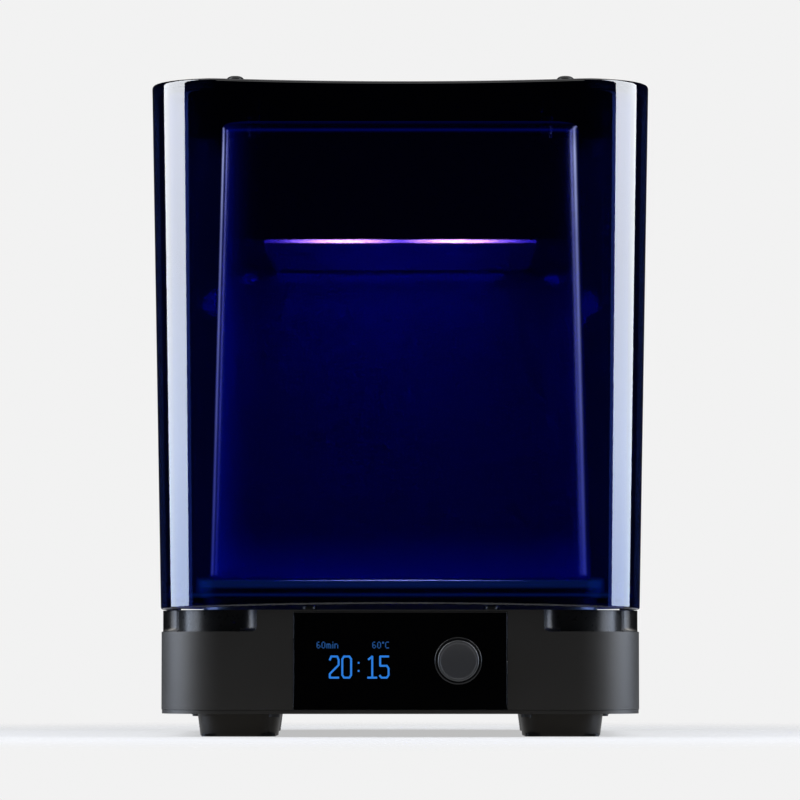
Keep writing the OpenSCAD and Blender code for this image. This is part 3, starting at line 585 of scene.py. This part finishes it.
# Each is a name, a colour and a roughness, and then what differs from a plain finish.
WARM = (1.0, 0.91, 0.78)
CHARCOAL = finish("charcoal_moulding", (0.0065, 0.0065, 0.0065), 0.50, vary=0.08, grain=2600,
                  bump=0.25, depth=0.03 * MM, specular=0.26, tint=WARM)
PAN = finish("satin_black_pan", (0.006, 0.006, 0.006), 0.46, grain=1800, bump=0.2, specular=0.28,
             tint=WARM)
FOOT = finish("foot_moulding", (0.003, 0.003, 0.003), 0.40, grain=1900, bump=0.2, specular=0.22,
              tint=WARM)
RUBBER = finish("soft_rubber", (0.005, 0.005, 0.005), 0.30, grain=900, bump=0.1, specular=0.1)
PANEL = finish("gloss_black_panel", (0.0003, 0.0003, 0.00035), 0.05, vary=0.3, patch=20, grain=120,
               bump=0)
DIAL = finish("dial_satin_black", (0.020, 0.020, 0.021), 0.33, grain=2200, bump=0.15,
              depth=0.01 * MM)
TRIM = finish("dial_trim_gloss", (0.005, 0.005, 0.005), 0.2, vary=0.2, grain=400, bump=0,
              specular=0.3)
NOTCH = finish("notch_gloss", (0.005, 0.005, 0.005), 0.30, vary=0.2, grain=600, bump=0.03,
               specular=0.16, tint=WARM)
STEEL = finish("zinc_steel", (0.52, 0.53, 0.55), 0.34, metal=1.0, vary=0.15, grain=700, bump=0.08)
SHAFT = brushed("ground_shaft", (0.62, 0.63, 0.65), 0.22)
DECK = brushed("bright_deck", (0.25, 0.26, 0.30), 0.45, stretch=(40, 1, 1))
SINK = brushed("extruded_aluminium", (0.50, 0.51, 0.53), 0.38, stretch=(1, 30, 1))
MOTOR = brushed("plated_can", (0.42, 0.42, 0.43), 0.3, stretch=(1, 1, 30))
BOARD = finish("green_board", (0.012, 0.085, 0.035), 0.32, vary=0.25, patch=160, grain=900, bump=0.1)
BOARD_WHITE = finish("white_board", (0.66, 0.67, 0.65), 0.35, vary=0.06, patch=160, grain=900,
                     bump=0.1)
PARTS = finish("moulded_parts", (0.03, 0.03, 0.033), 0.4, vary=0.3, patch=90, grain=900)
HUB = finish("natural_moulding", (0.55, 0.55, 0.56), 0.4, vary=0.05)
FAN = finish("fan_moulding", (0.014, 0.014, 0.015), 0.36, grain=1400)
HEATER = brushed("heater_block", (0.34, 0.33, 0.33), 0.42, stretch=(30, 1, 1))
DUCT = finish("duct_moulding", (0.035, 0.036, 0.04), 0.5, grain=1200, bump=0.2)
SOCKET = finish("socket_moulding", (0.012, 0.012, 0.013), 0.35, grain=1500)
# The black shroud gives off a faint painted blue glow, standing in for the chamber's blue light falling
# on it.
SHROUD = glowing("shroud_black_painted_blue_glow", (0.0002, 0.0005, 0.030), 1.0, base=(0.004, 0.004, 0.012),
                 roughness=0.5)
SCREW = finish("dark_screw", (0.06, 0.06, 0.075), 0.22, metal=0.6, vary=0.2, grain=700, bump=0.05)
BLACK_SCREW = finish("black_oxide_screw", (0.012, 0.012, 0.013), 0.4, vary=0.2, grain=700, bump=0.05,
                     specular=0.2)
SEAL = finish("soft_seal", (0.02, 0.02, 0.023), 0.65, grain=900, bump=0.3, depth=0.05 * MM)
# The hood's top is darkened by painted shade, and its sides are lit by a painted glow.
HOOD = tinted("hood_blue_clear", (0.012, 0.022, 0.120), (0.0002, 0.0008, 0.010),
              (0.0003, 0.0012, 0.014), cover=0.04, roughness=0.02,
              painted_shade_above=(327 * MM, 340 * MM), glow=hood_side_painted_glow)
# The liner gives off painted highlights and a painted glow.
LINER = tinted("liner_blue_clear", (0.34, 0.34, 0.68), (0.0015, 0.003, 0.26), (0.003, 0.006, 0.34),
               cover=0.30, roughness=0.05, glow=liner_painted_light)
# The turntable carries a painted highlight on its rim.
TABLE = tinted("clear_table", (0.88, 0.92, 0.97), (0.25, 0.28, 0.36), (0.30, 0.34, 0.42),
               cover=0.12, roughness=0.05, glow=table_painted_highlight)
CLEAR = tinted("clear_plate", (0.88, 0.92, 0.97), (0.25, 0.28, 0.36), (0.30, 0.34, 0.42),
               cover=0.12, roughness=0.05)
READOUT = glowing("readout_blue", (0.022, 0.26, 0.95), 0.72, base=(0.0, 0.01, 0.03))
READOUT_DIM = glowing("readout_dim_blue", (0.02, 0.22, 0.80), 0.24, base=(0.0, 0.01, 0.03))
EMITTER = glowing("violet_emitter", (0.55, 0.30, 1.0), 6.0)
GLASS_DARK = finish("display_cell", (0.003, 0.006, 0.016), 0.08, vary=0.2, grain=300, bump=0)


def edge_lit():
    """The lamp head's diffuser: its edges blaze beside the emitters, and its flat side glows."""
    material, nodes, links, surface = blank("violet_diffuser")
    (x, y, _), (_, _, nz) = coordinates(nodes, links)
    off = calculate(nodes, links, "ABSOLUTE", x)
    upright = calculate(nodes, links, "SUBTRACT", 1.0, calculate(nodes, links, "ABSOLUTE", nz))
    side = product(nodes, links, upright, between(nodes, links, y, 10 * MM, -10 * MM))
    hot = product(nodes, links, side, bell(nodes, links, off, EMITTER_X, 12.5 * MM), 720.0)
    violet = product(nodes, links, side, bell(nodes, links, off, EMITTER_X, 20 * MM), 50.0)
    outside = calculate(nodes, links, "MAXIMUM", off, EMITTER_X)
    front = between(nodes, links, y, lens_low.y + 60 * MM, lens_low.y)
    flat = product(nodes, links, bell(nodes, links, outside, EMITTER_X, 14 * MM),
                   total(nodes, links, product(nodes, links, front, 0.5), 0.8))
    flat = total(nodes, links, flat, 0.06)
    # The shares of the hot, the violet and the flat glow in red, in green and in blue.
    colour = [
        total(nodes, links, product(nodes, links, hot, h), product(nodes, links, violet, v),
              product(nodes, links, flat, f))
        for h, v, f in ((2.0, 0.2, 0.10), (0.49, 0.054, 0.04), (0.08, 1.33, 1.08))
    ]
    shine(nodes, links, surface, *colour, 1.0)
    surface.inputs["Base Color"].default_value = (0.45, 0.42, 0.6, 1)
    surface.inputs["Roughness"].default_value = 0.35
    return material


DIFFUSER = edge_lit()

# ---- CAD nodes that keep their shape ----

KEPT = {
    STEEL: ["foot_screws", "board_standoffs", "deck_screws", "motor_bracket", "motor_screws",
            "fan_screws", "service_port", "hinge_screws", "liner_screws"],
    SHAFT: ["encoder_shaft", "motor_shaft", "hinge_pins", "temperature_probe", "hood_magnet"],
    MOTOR: ["encoder_body", "turntable_motor"],
    BOARD: ["control_board", "power_board"],
    BOARD_WHITE: ["lower_led_board", "upper_led_board"],
    PARTS: ["power_components", "hood_sensor"],
    HUB: ["encoder_plunger", "turntable_hub"],
    FAN: ["warm_fan_frame", "warm_fan_rotor", "exhaust_fan_frame", "exhaust_fan_rotor"],
    HEATER: ["air_heater"],
    DUCT: ["warm_duct"],
    SOCKET: ["power_inlet"],
    SEAL: ["hood_seal"],
    RUBBER: ["foot_pads"],
    SINK: ["lower_heatsink", "upper_heatsink"],
    EMITTER: ["lower_leds", "upper_leds"],
    CLEAR: ["lower_windows"],
    GLASS_DARK: ["display_module"],
    SCREW: ["shroud_screws"],
    BLACK_SCREW: ["tray_screws"],
}
for material, nodes_kept in KEPT.items():
    for node_name in nodes_kept:
        for material_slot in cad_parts[node_name].material_slots:
            material_slot.material = material

# ---- Base ----

base_piece = softened("base_shell", "base", CHARCOAL, 0.8 * MM)
base_piece.data.materials.append(NOTCH)
for polygon in base_piece.data.polygons:
    spot = polygon.center
    in_corner = abs(spot.x) > NOTCH_HALF and spot.y < -NOTCH_HALF
    if in_corner and NOTCH_FLOOR - 0.1 * MM < spot.z < base_high.z - 0.1 * MM:
        polygon.material_index = 1
softened("base_tray", "base", PAN, 0.4 * MM)

FOOT_HALF = 22 * MM
FOOT_SLOPE = 1.5 * MM
FOOT_BOTTOM = 0.3 * MM
FOOT_POINTS = 96
FOOT_SQUARENESS = 3.2
FRONT_FOOT_X = 85 * MM
feet_low, feet_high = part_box("feet")
REAR_FOOT_X = feet_high.x - FOOT_HALF
FOOT_Y = feet_high.y - FOOT_HALF
FOOT_PLACES = {
    "front_left": (-FRONT_FOOT_X, -FOOT_Y), "front_right": (FRONT_FOOT_X, -FOOT_Y),
    "rear_left": (-REAR_FOOT_X, FOOT_Y), "rear_right": (REAR_FOOT_X, FOOT_Y),
}


def foot_mesh(name, place):
    """A squarish block with gently bowed sides, which narrows downwards."""
    rows = []
    for half, _, z in rounded([
        ((1 * MM, 0, FOOT_BOTTOM), 0),
        ((FOOT_HALF - FOOT_SLOPE, 0, FOOT_BOTTOM), 0.4 * MM),
        ((FOOT_HALF, 0, feet_high.z), 0.2 * MM),
        ((1 * MM, 0, feet_high.z), 0),
    ]):
        row = []
        for k in range(FOOT_POINTS):
            a = 2 * math.pi * (k + 0.5) / FOOT_POINTS
            c, d = math.cos(a), math.sin(a)
            power = abs(c) ** FOOT_SQUARENESS + abs(d) ** FOOT_SQUARENESS
            reach = half / power ** (1 / FOOT_SQUARENESS)
            row.append(Vector((place[0] + reach * c, place[1] + reach * d, z)))
        rows.append(row)
    return skin(name, rows)


for number, (corner, place) in enumerate(FOOT_PLACES.items()):
    add_piece("foot_" + corner, foot_mesh("foot_" + corner, place), "base", FOOT,
              ["feet"] if number == 0 else [])
softened("front_panel", "base", PANEL, 0.25 * MM)
softened("chamber_deck", "base", DECK, 0.8 * MM)
softened("lamp_standoffs", "hood", STEEL, 0.2 * MM)
softened("hinge_brackets", "base", STEEL, 0.4 * MM)
softened("hinge_arms", "hood", STEEL, 0.4 * MM)

BUMPER_R = 4 * MM
BUMPER_X = 47.6 * MM
bumpers_low, bumpers_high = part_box("rim_bumpers")
bumper_y = (bumpers_low.y + bumpers_high.y) / 2
bumper_tall = bumpers_high.z - bumpers_low.z
for side, word in ((-1, "left"), (1, "right")):
    bumper = turned("rim_bumper", [
        ((0, 0, 0), 0),
        ((BUMPER_R, 0, 0), 0.2 * MM),
        ((BUMPER_R, 0, bumper_tall), 0.8 * MM),
        ((0, 0, bumper_tall), 0),
    ], (side * BUMPER_X, bumper_y, bumpers_low.z))
    add_piece("rim_bumper_" + word, bumper, "base", RUBBER,
              ["rim_bumpers"] if side < 0 else [])

# ---- Dial ----

dial_centre = Vector(((dial_low.x + dial_high.x) / 2, 0, (dial_low.z + dial_high.z) / 2))
dial_r = (dial_high.x - dial_low.x) / 2
dial_face = -dial_low.y
dial_back = -dial_high.y
dial_mesh = turned("dial_cap_fine", [
    ((0, 0, dial_face - 0.75 * MM), 0),
    ((dial_r * 0.55, 0, dial_face - 0.62 * MM), 2 * MM),
    ((dial_r - 1.5 * MM, 0, dial_face - 0.28 * MM), 0.5 * MM),
    ((dial_r - 1.1 * MM, 0, dial_face), 0.25 * MM),
    ((dial_r, 0, dial_face), 0.7 * MM),
    ((dial_r, 0, dial_back), 0.3 * MM),
    ((0, 0, dial_back), 0),
], dial_centre, "y", segments=120)
add_piece("dial_cap_fine", dial_mesh, "dial", DIAL, ["dial_cap"])

BEZEL_R = 12.3 * MM
BEZEL_BACK_R = 14 * MM
BEZEL_GAP = 0.35 * MM
bezel_face, bezel_back, panel_back = -bezel_low.y, -bezel_high.y, -panel_high.y
bezel_mesh = turned("dial_bezel_fine", [
    ((dial_r + BEZEL_GAP, 0, bezel_back), 0),
    ((dial_r + BEZEL_GAP, 0, bezel_face), 0.35 * MM),
    ((BEZEL_R, 0, bezel_face), 0.55 * MM),
    ((BEZEL_R, 0, panel_back), 0),
    ((BEZEL_BACK_R, 0, panel_back), 0.2 * MM),
    ((BEZEL_BACK_R, 0, bezel_back), 0),
    ((dial_r + BEZEL_GAP + 0.01 * MM, 0, bezel_back), 0),
], dial_centre, "y", segments=120)
add_piece("dial_bezel_fine", bezel_mesh, "base", TRIM, ["dial_bezel"])

# ---- Readout ----

STROKE = 1.04 * MM
INK = 0.05 * MM
PANEL_FACE = panel_low.y

# The strokes of each digit, in a box 1 wide and 1 high.
DIGITS = {
    "2": [[(0, 0.84), (0.16, 1), (0.84, 1), (1, 0.84), (1, 0.60), (0, 0.18), (0, 0), (1, 0)]],
    "0": [[(0.2, 0), (0, 0.12), (0, 0.88), (0.2, 1), (0.8, 1), (1, 0.88), (1, 0.12), (0.8, 0),
           (0.2, 0)]],
    "1": [[(0.08, 0.86), (0.5, 1), (0.5, 0)], [(0, 0), (1, 0)]],
    "5": [[(1, 1), (0.05, 1), (0.05, 0.56), (0.8, 0.56), (1, 0.44), (1, 0.12), (0.8, 0), (0.2, 0),
           (0, 0.10)]],
}
DIGIT_WIDE = 4.6 * MM
DIGIT_TALL = 11.0 * MM
DIGITS_Z = 30.9 * MM
DIGIT_PLACES = [("2", -36.7 * MM), ("0", -30.2 * MM), ("1", -16.9 * MM), ("5", -10.7 * MM)]
COLON_X = -21.7 * MM
COLON_HALF = STROKE * 0.43

# The lit dots of each letter, by rows from the top.
LETTERS = {
    "6": ["0110", "1000", "1000", "1110", "1001", "1001", "0110"],
    "0": ["0110", "1001", "1001", "1001", "1001", "1001", "0110"],
    "m": ["00000", "00000", "11110", "10101", "10101", "10101", "10101"],
    "i": ["1", "0", "1", "1", "1", "1", "1"],
    "n": ["0000", "0000", "1110", "1001", "1001", "1001", "1001"],
    "o": ["11", "11", "00", "00", "00", "00", "00"],
    "C": ["0111", "1000", "1000", "1000", "1000", "1000", "0111"],
}


DOT = 0.5 * MM
LABELS_TOP = 49.6 * MM
LABEL_PLACES = [("60min", -43.6 * MM), ("60oC", -14.6 * MM)]


def plate(shape, corners):
    """A thin raised tile on the panel's face, from its corners in X and Z."""
    front = [shape.verts.new((x, PANEL_FACE - INK, z)) for x, z in corners]
    back = [shape.verts.new((x, PANEL_FACE, z)) for x, z in corners]
    count = len(corners)
    shape.faces.new(front)
    shape.faces.new(list(reversed(back)))
    for k in range(count):
        n = (k + 1) % count
        shape.faces.new((front[n], front[k], back[k], back[n]))


def tile(shape, low_x, low_z, high_x, high_z):
    """An upright tile, from two of its corners."""
    plate(shape, [(low_x, low_z), (high_x, low_z), (high_x, high_z), (low_x, high_z)])


def stroke(shape, line):
    """A line of even width through the points, made of tiles that overlap at its bends."""
    points = [Vector(p) for p in line]
    for a, b in zip(points, points[1:]):
        along = (b - a).normalized() * STROKE * 0.49
        across = Vector((-along.y, along.x))
        start, end = a - along * 0.5, b + along * 0.5
        corners = [start + across, start - across, end - across, end + across]
        plate(shape, [(c.x, c.y) for c in corners])


def readout_mesh(name, draw):
    """The mesh that draw puts together on the panel's face."""
    shape = bmesh.new()
    draw(shape)
    bmesh.ops.recalc_face_normals(shape, faces=shape.faces)
    mesh = bpy.data.meshes.new(name)
    shape.to_mesh(mesh)
    shape.free()
    return mesh


def draw_time(shape):
    """Four digits with a colon between them."""
    for digit, left in DIGIT_PLACES:
        for line in DIGITS[digit]:
            stroke(shape, [(left + u * DIGIT_WIDE, DIGITS_Z + v * DIGIT_TALL) for u, v in line])
    for z in (34.4 * MM, 38.6 * MM):
        tile(shape, COLON_X - COLON_HALF, z - COLON_HALF, COLON_X + COLON_HALF, z + COLON_HALF)


def draw_labels(shape):
    """Two small settings over the time."""
    for text, x in LABEL_PLACES:
        for letter in text:
            rows = LETTERS[letter]
            for down, row in enumerate(rows):
                for across, mark in enumerate(row):
                    if mark == "1":
                        left, top = x + across * DOT, LABELS_TOP - down * DOT
                        tile(shape, left, top - DOT, left + DOT, top)
            x += (len(rows[0]) + 1) * DOT * 1.03


readout_time = readout_mesh("readout_time", draw_time)
readout_labels = readout_mesh("readout_labels", draw_labels)
add_piece("readout_time", readout_time, "base", READOUT)
add_piece("readout_labels", readout_labels, "base", READOUT_DIM)

# ---- Turntable ----

TABLE_BORE = 4.05 * MM
table_mesh = turned("turntable_fine", [
    ((TABLE_BORE, 0, table_low.z), 0),
    ((table_high.x, 0, table_low.z), 0.6 * MM),
    ((table_high.x, 0, table_high.z), 0.6 * MM),
    ((TABLE_BORE, 0, table_high.z), 0),
], (0, 0, 0), segments=144)
add_piece("turntable_fine", table_mesh, "turntable", TABLE, ["turntable_plate"])

# ---- Hood ----


def ease(value, low, high):
    """A smooth step from 0 at low to 1 at high."""
    t = min(1.0, max(0.0, (value - low) / (high - low)))
    return t * t * (3 - 2 * t)


def hood_half(z):
    """Half the hood's width at a height, because its walls lean."""
    return HOOD_RIM + (HOOD_TOP - HOOD_RIM) * (z - hood_low.z) / (TOP_Z - hood_low.z)


def hood_shift(p):
    """The rim's arch along the front and its relief round the back, and the sag across the top."""
    near_rim = 1 - ease(p.z, hood_low.z + 2 * MM, hood_low.z + 22 * MM)
    front = ease(-p.y, 100 * MM, 112 * MM) * max(0.0, 1 - (p.x / RIM_ARCH_HALF) ** 2)
    back = ease(p.y, 66 * MM, 78 * MM)
    near_top = ease(p.z, TOP_Z - 4.5 * MM, TOP_Z - 2 * MM)
    sag = TOP_DIP * max(0.0, 1 - (p.x / TOP_DIP_HALF) ** 2)
    return near_rim * RIM_RISE * max(front, back) - near_top * sag


roof_z = TOP_Z - HOOD_ROOF
hood_mesh = square_skin("hood_shell_fine", [
    ((MIDDLE_HALF, MIDDLE_CENTRE, roof_z), 0),
    ((hood_half(roof_z) - HOOD_WALL, HOOD_CORNER, roof_z), 3 * MM),
    ((HOOD_RIM - HOOD_WALL, HOOD_CORNER, hood_low.z), 0.7 * MM),
    ((HOOD_RIM, HOOD_CORNER, hood_low.z), 1.3 * MM),
    ((HOOD_TOP, HOOD_CORNER, TOP_Z), 2.2 * MM),
    ((MIDDLE_HALF, MIDDLE_CENTRE, TOP_Z), 0),
], hood_shift)
add_piece("hood_shell_fine", hood_mesh, "hood", HOOD, ["hood_shell"])

liner_mesh = square_skin("hood_liner_fine", [
    ((MIDDLE_HALF, MIDDLE_CENTRE, LINER_TOP - LINER_WALL), 0),
    ((LINER_TOP_HALF, LINER_CORNER, LINER_TOP - LINER_WALL), 3 * MM),
    ((LINER_STEP_HALF, LINER_CORNER, LINER_STEP_Z), 1.2 * MM),
    ((SKIRT_HALF, SKIRT_CORNER, LINER_STEP_Z), 0.8 * MM),
    ((SKIRT_HALF, SKIRT_CORNER, FLANGE_LOW), 0.5 * MM),
    ((FLANGE_HALF, HOOD_CORNER, FLANGE_LOW), 0.5 * MM),
    ((FLANGE_HALF, HOOD_CORNER, FLANGE_HIGH), 0.5 * MM),
    ((SKIRT_HALF + LINER_WALL, SKIRT_CORNER, FLANGE_HIGH), 1.2 * MM),
    ((SKIRT_HALF + LINER_WALL, SKIRT_CORNER, LINER_STEP_Z + LINER_WALL), 2.2 * MM),
    ((LINER_STEP_HALF + LINER_WALL, LINER_CORNER, LINER_STEP_Z + LINER_WALL), 1.2 * MM),
    ((LINER_TOP_HALF + LINER_WALL, LINER_CORNER, LINER_TOP), 4.5 * MM),
    ((MIDDLE_HALF, MIDDLE_CENTRE, LINER_TOP), 0),
])
add_piece("hood_liner_fine", liner_mesh, "hood", LINER, ["hood_liner"])

softened("lamp_shroud", "hood", SHROUD, 0.6 * MM)
softened("lamp_lens", "hood", DIFFUSER, 0.5 * MM)
softened("lamp_screws", "hood", SCREW, 0.5 * MM)

CAP_R = 5 * MM
cap_low, cap_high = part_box("hood_caps")
cap_x, cap_y = cap_high.x - CAP_R, cap_high.y - CAP_R
for number, (sx, sy) in enumerate([(-1, -1), (1, -1), (-1, 1), (1, 1)], 1):
    cap = turned("hood_cap", [
        ((0, 0, cap_high.z), 0),
        ((3.2 * MM, 0, cap_high.z - 0.1 * MM), 1.4 * MM),
        ((CAP_R - 0.3 * MM, 0, TOP_Z + 0.6 * MM), 0.8 * MM),
        ((CAP_R - 0.1 * MM, 0, TOP_Z - 0.4 * MM), 0.1 * MM),
        ((0, 0, TOP_Z - 0.5 * MM), 0),
    ], (sx * cap_x, sy * cap_y, 0), segments=48)
    add_piece(f"hood_cap_{number}", cap, "hood", RUBBER,
              ["hood_caps"] if number == 1 else [])

# ---- Stage, lights and camera ----

CAMERA_BACK = 2.5
CAMERA_X = -0.00015
CAMERA_HIGH = 0.040
FRONT = hood_low.y
AIM_Z = 0.1753

camera = bpy.data.objects.new("camera", bpy.data.cameras.new("camera"))
bpy.context.scene.collection.objects.link(camera)
camera.location = (CAMERA_X, FRONT - CAMERA_BACK, CAMERA_HIGH)
target = Vector((CAMERA_X, FRONT, AIM_Z))
camera.rotation_euler = (target - camera.location).to_track_quat("-Z", "Y").to_euler()
camera.data.lens = 216.3
camera.data.sensor_width = 36
camera.data.clip_end = 50
bpy.context.scene.camera = camera


def area_light(name, place, aim, width, height, radiance, colour=(1, 1, 1), body=None):
    """A rectangle light, sized in metres, with the given brightness of its face."""
    lamp = bpy.data.lights.new(name, "AREA")
    lamp.shape = "RECTANGLE"
    lamp.size, lamp.size_y = width, height
    lamp.energy = radiance * math.pi * width * height
    lamp.color = colour
    holder = bpy.data.objects.new(name, lamp)
    bpy.context.scene.collection.objects.link(holder)
    holder.location = place
    holder.rotation_euler = (Vector(aim) - Vector(place)).to_track_quat("-Z", "Y").to_euler()
    holder.visible_camera = False
    if body:
        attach(holder, body)
    return holder


SOFTBOX_X = 0.6
SOFTBOX_Y = -0.128
SOFTBOX_Z = 0.64
SOFTBOX_WIDE = 0.415
SOFTBOX_TALL = 1.26

# Height above the table in metres, and the colour of the softboxes there.
SOFTBOX_COLOURS = [
    (0.0, (0.59, 0.70, 0.90)), (0.08, (0.62, 0.742, 0.994)), (0.16, (0.782, 0.883, 1.074)),
    (0.28, (0.905, 0.955, 1.03)), (0.40, (1.018, 1.053, 1.12)),
]


def softbox_tint(nodes, links):
    """The colour of a softbox, which changes with height."""
    spot = nodes.new("ShaderNodeNewGeometry")
    split = nodes.new("ShaderNodeSeparateXYZ")
    links.new(spot.outputs["Position"], split.inputs["Vector"])
    tint = nodes.new("ShaderNodeValToRGB")
    stops = tint.color_ramp.elements
    for number, (height, colour) in enumerate(SOFTBOX_COLOURS):
        if number > 1:
            stops.new(height)
        stops[number].position = height
        stops[number].color = (*colour, 1)
    links.new(split.outputs["Z"], tint.inputs["Fac"])
    links.new(tint.outputs["Color"], nodes["Emission"].inputs["Color"])


for side, word in ((-1, "left"), (1, "right")):
    softbox = area_light("softbox_" + word, place=(side * SOFTBOX_X, SOFTBOX_Y, SOFTBOX_Z),
                         aim=(0, SOFTBOX_Y, SOFTBOX_Z), width=SOFTBOX_WIDE, height=SOFTBOX_TALL,
                         radiance=16.0)
    softbox.data.use_nodes = True
    softbox_tint(softbox.data.node_tree.nodes, softbox.data.node_tree.links)
area_light("overhead", place=(0, 0.1, 1.7), aim=(0, 0, 0), width=1.6, height=1.6, radiance=1.8)
area_light("front_fill", place=(0, -1.4, 1.5), aim=(0, 0, 0.1), width=0.9, height=0.6, radiance=1.8)
GLOW_X = -6 * MM
area_light("chamber_glow", place=(GLOW_X, 0, lens_low.z - 1 * MM), aim=(GLOW_X, 0, 0), width=0.13,
           height=0.16, radiance=38.0, colour=(0.03, 0.03, 1.0), body="hood")

world = bpy.data.worlds.new("studio")
bpy.context.scene.world = world
world.use_nodes = True
world_nodes, world_links = world.node_tree.nodes, world.node_tree.links
world_nodes.clear()
paths = world_nodes.new("ShaderNodeLightPath")
# The camera sees a pale backdrop, and the object is lit by almost none of it.
seen = world_nodes.new("ShaderNodeBackground")
seen.inputs["Color"].default_value = (0.887, 0.887, 0.887, 1)
felt = world_nodes.new("ShaderNodeBackground")
felt.inputs["Color"].default_value = (0.005, 0.005, 0.006, 1)
world_mix = world_nodes.new("ShaderNodeMixShader")
world_out = world_nodes.new("ShaderNodeOutputWorld")
world_links.new(paths.outputs["Is Camera Ray"], world_mix.inputs["Fac"])
world_links.new(felt.outputs["Background"], world_mix.inputs[1])
world_links.new(seen.outputs["Background"], world_mix.inputs[2])
world_links.new(world_mix.outputs["Shader"], world_out.inputs["Surface"])


def floor_material():
    """Pale floor that melts into the backdrop away from the object."""
    material, nodes, links, surface = blank("pale_floor")
    surface.inputs["Base Color"].default_value = (0.13, 0.13, 0.13, 1)
    surface.inputs["Emission Color"].default_value = (1, 1, 1, 1)
    surface.inputs["Emission Strength"].default_value = 0.50
    surface.inputs["Roughness"].default_value = 0.8
    surface.inputs["Specular IOR Level"].default_value = 0.1
    place = nodes.new("ShaderNodeTexCoord")
    length = nodes.new("ShaderNodeVectorMath")
    length.operation = "LENGTH"
    fade = nodes.new("ShaderNodeMapRange")
    fade.inputs["From Min"].default_value = 0.20
    fade.inputs["From Max"].default_value = 0.55
    fade.inputs["To Min"].default_value = 1.0
    fade.inputs["To Max"].default_value = 0.0
    fade.interpolation_type = "SMOOTHSTEP"
    links.new(place.outputs["Object"], length.inputs[0])
    links.new(length.outputs["Value"], fade.inputs["Value"])
    links.new(fade.outputs["Result"], surface.inputs["Alpha"])
    return material


FLOOR_R = 0.6
FLOOR_POINTS = 96
floor_mesh = bpy.data.meshes.new("floor")
turns = [2 * math.pi * k / FLOOR_POINTS for k in range(FLOOR_POINTS)]
floor_ring = [(FLOOR_R * math.cos(a), FLOOR_R * math.sin(a), 0) for a in turns]
floor_mesh.from_pydata(floor_ring, [], [tuple(range(FLOOR_POINTS))])
floor_mesh.materials.append(floor_material())
floor = bpy.data.objects.new("floor", floor_mesh)
bpy.context.scene.collection.objects.link(floor)

bpy.context.scene.view_settings.view_transform = "Standard"
bpy.context.scene.cycles.transparent_max_bounces = 24
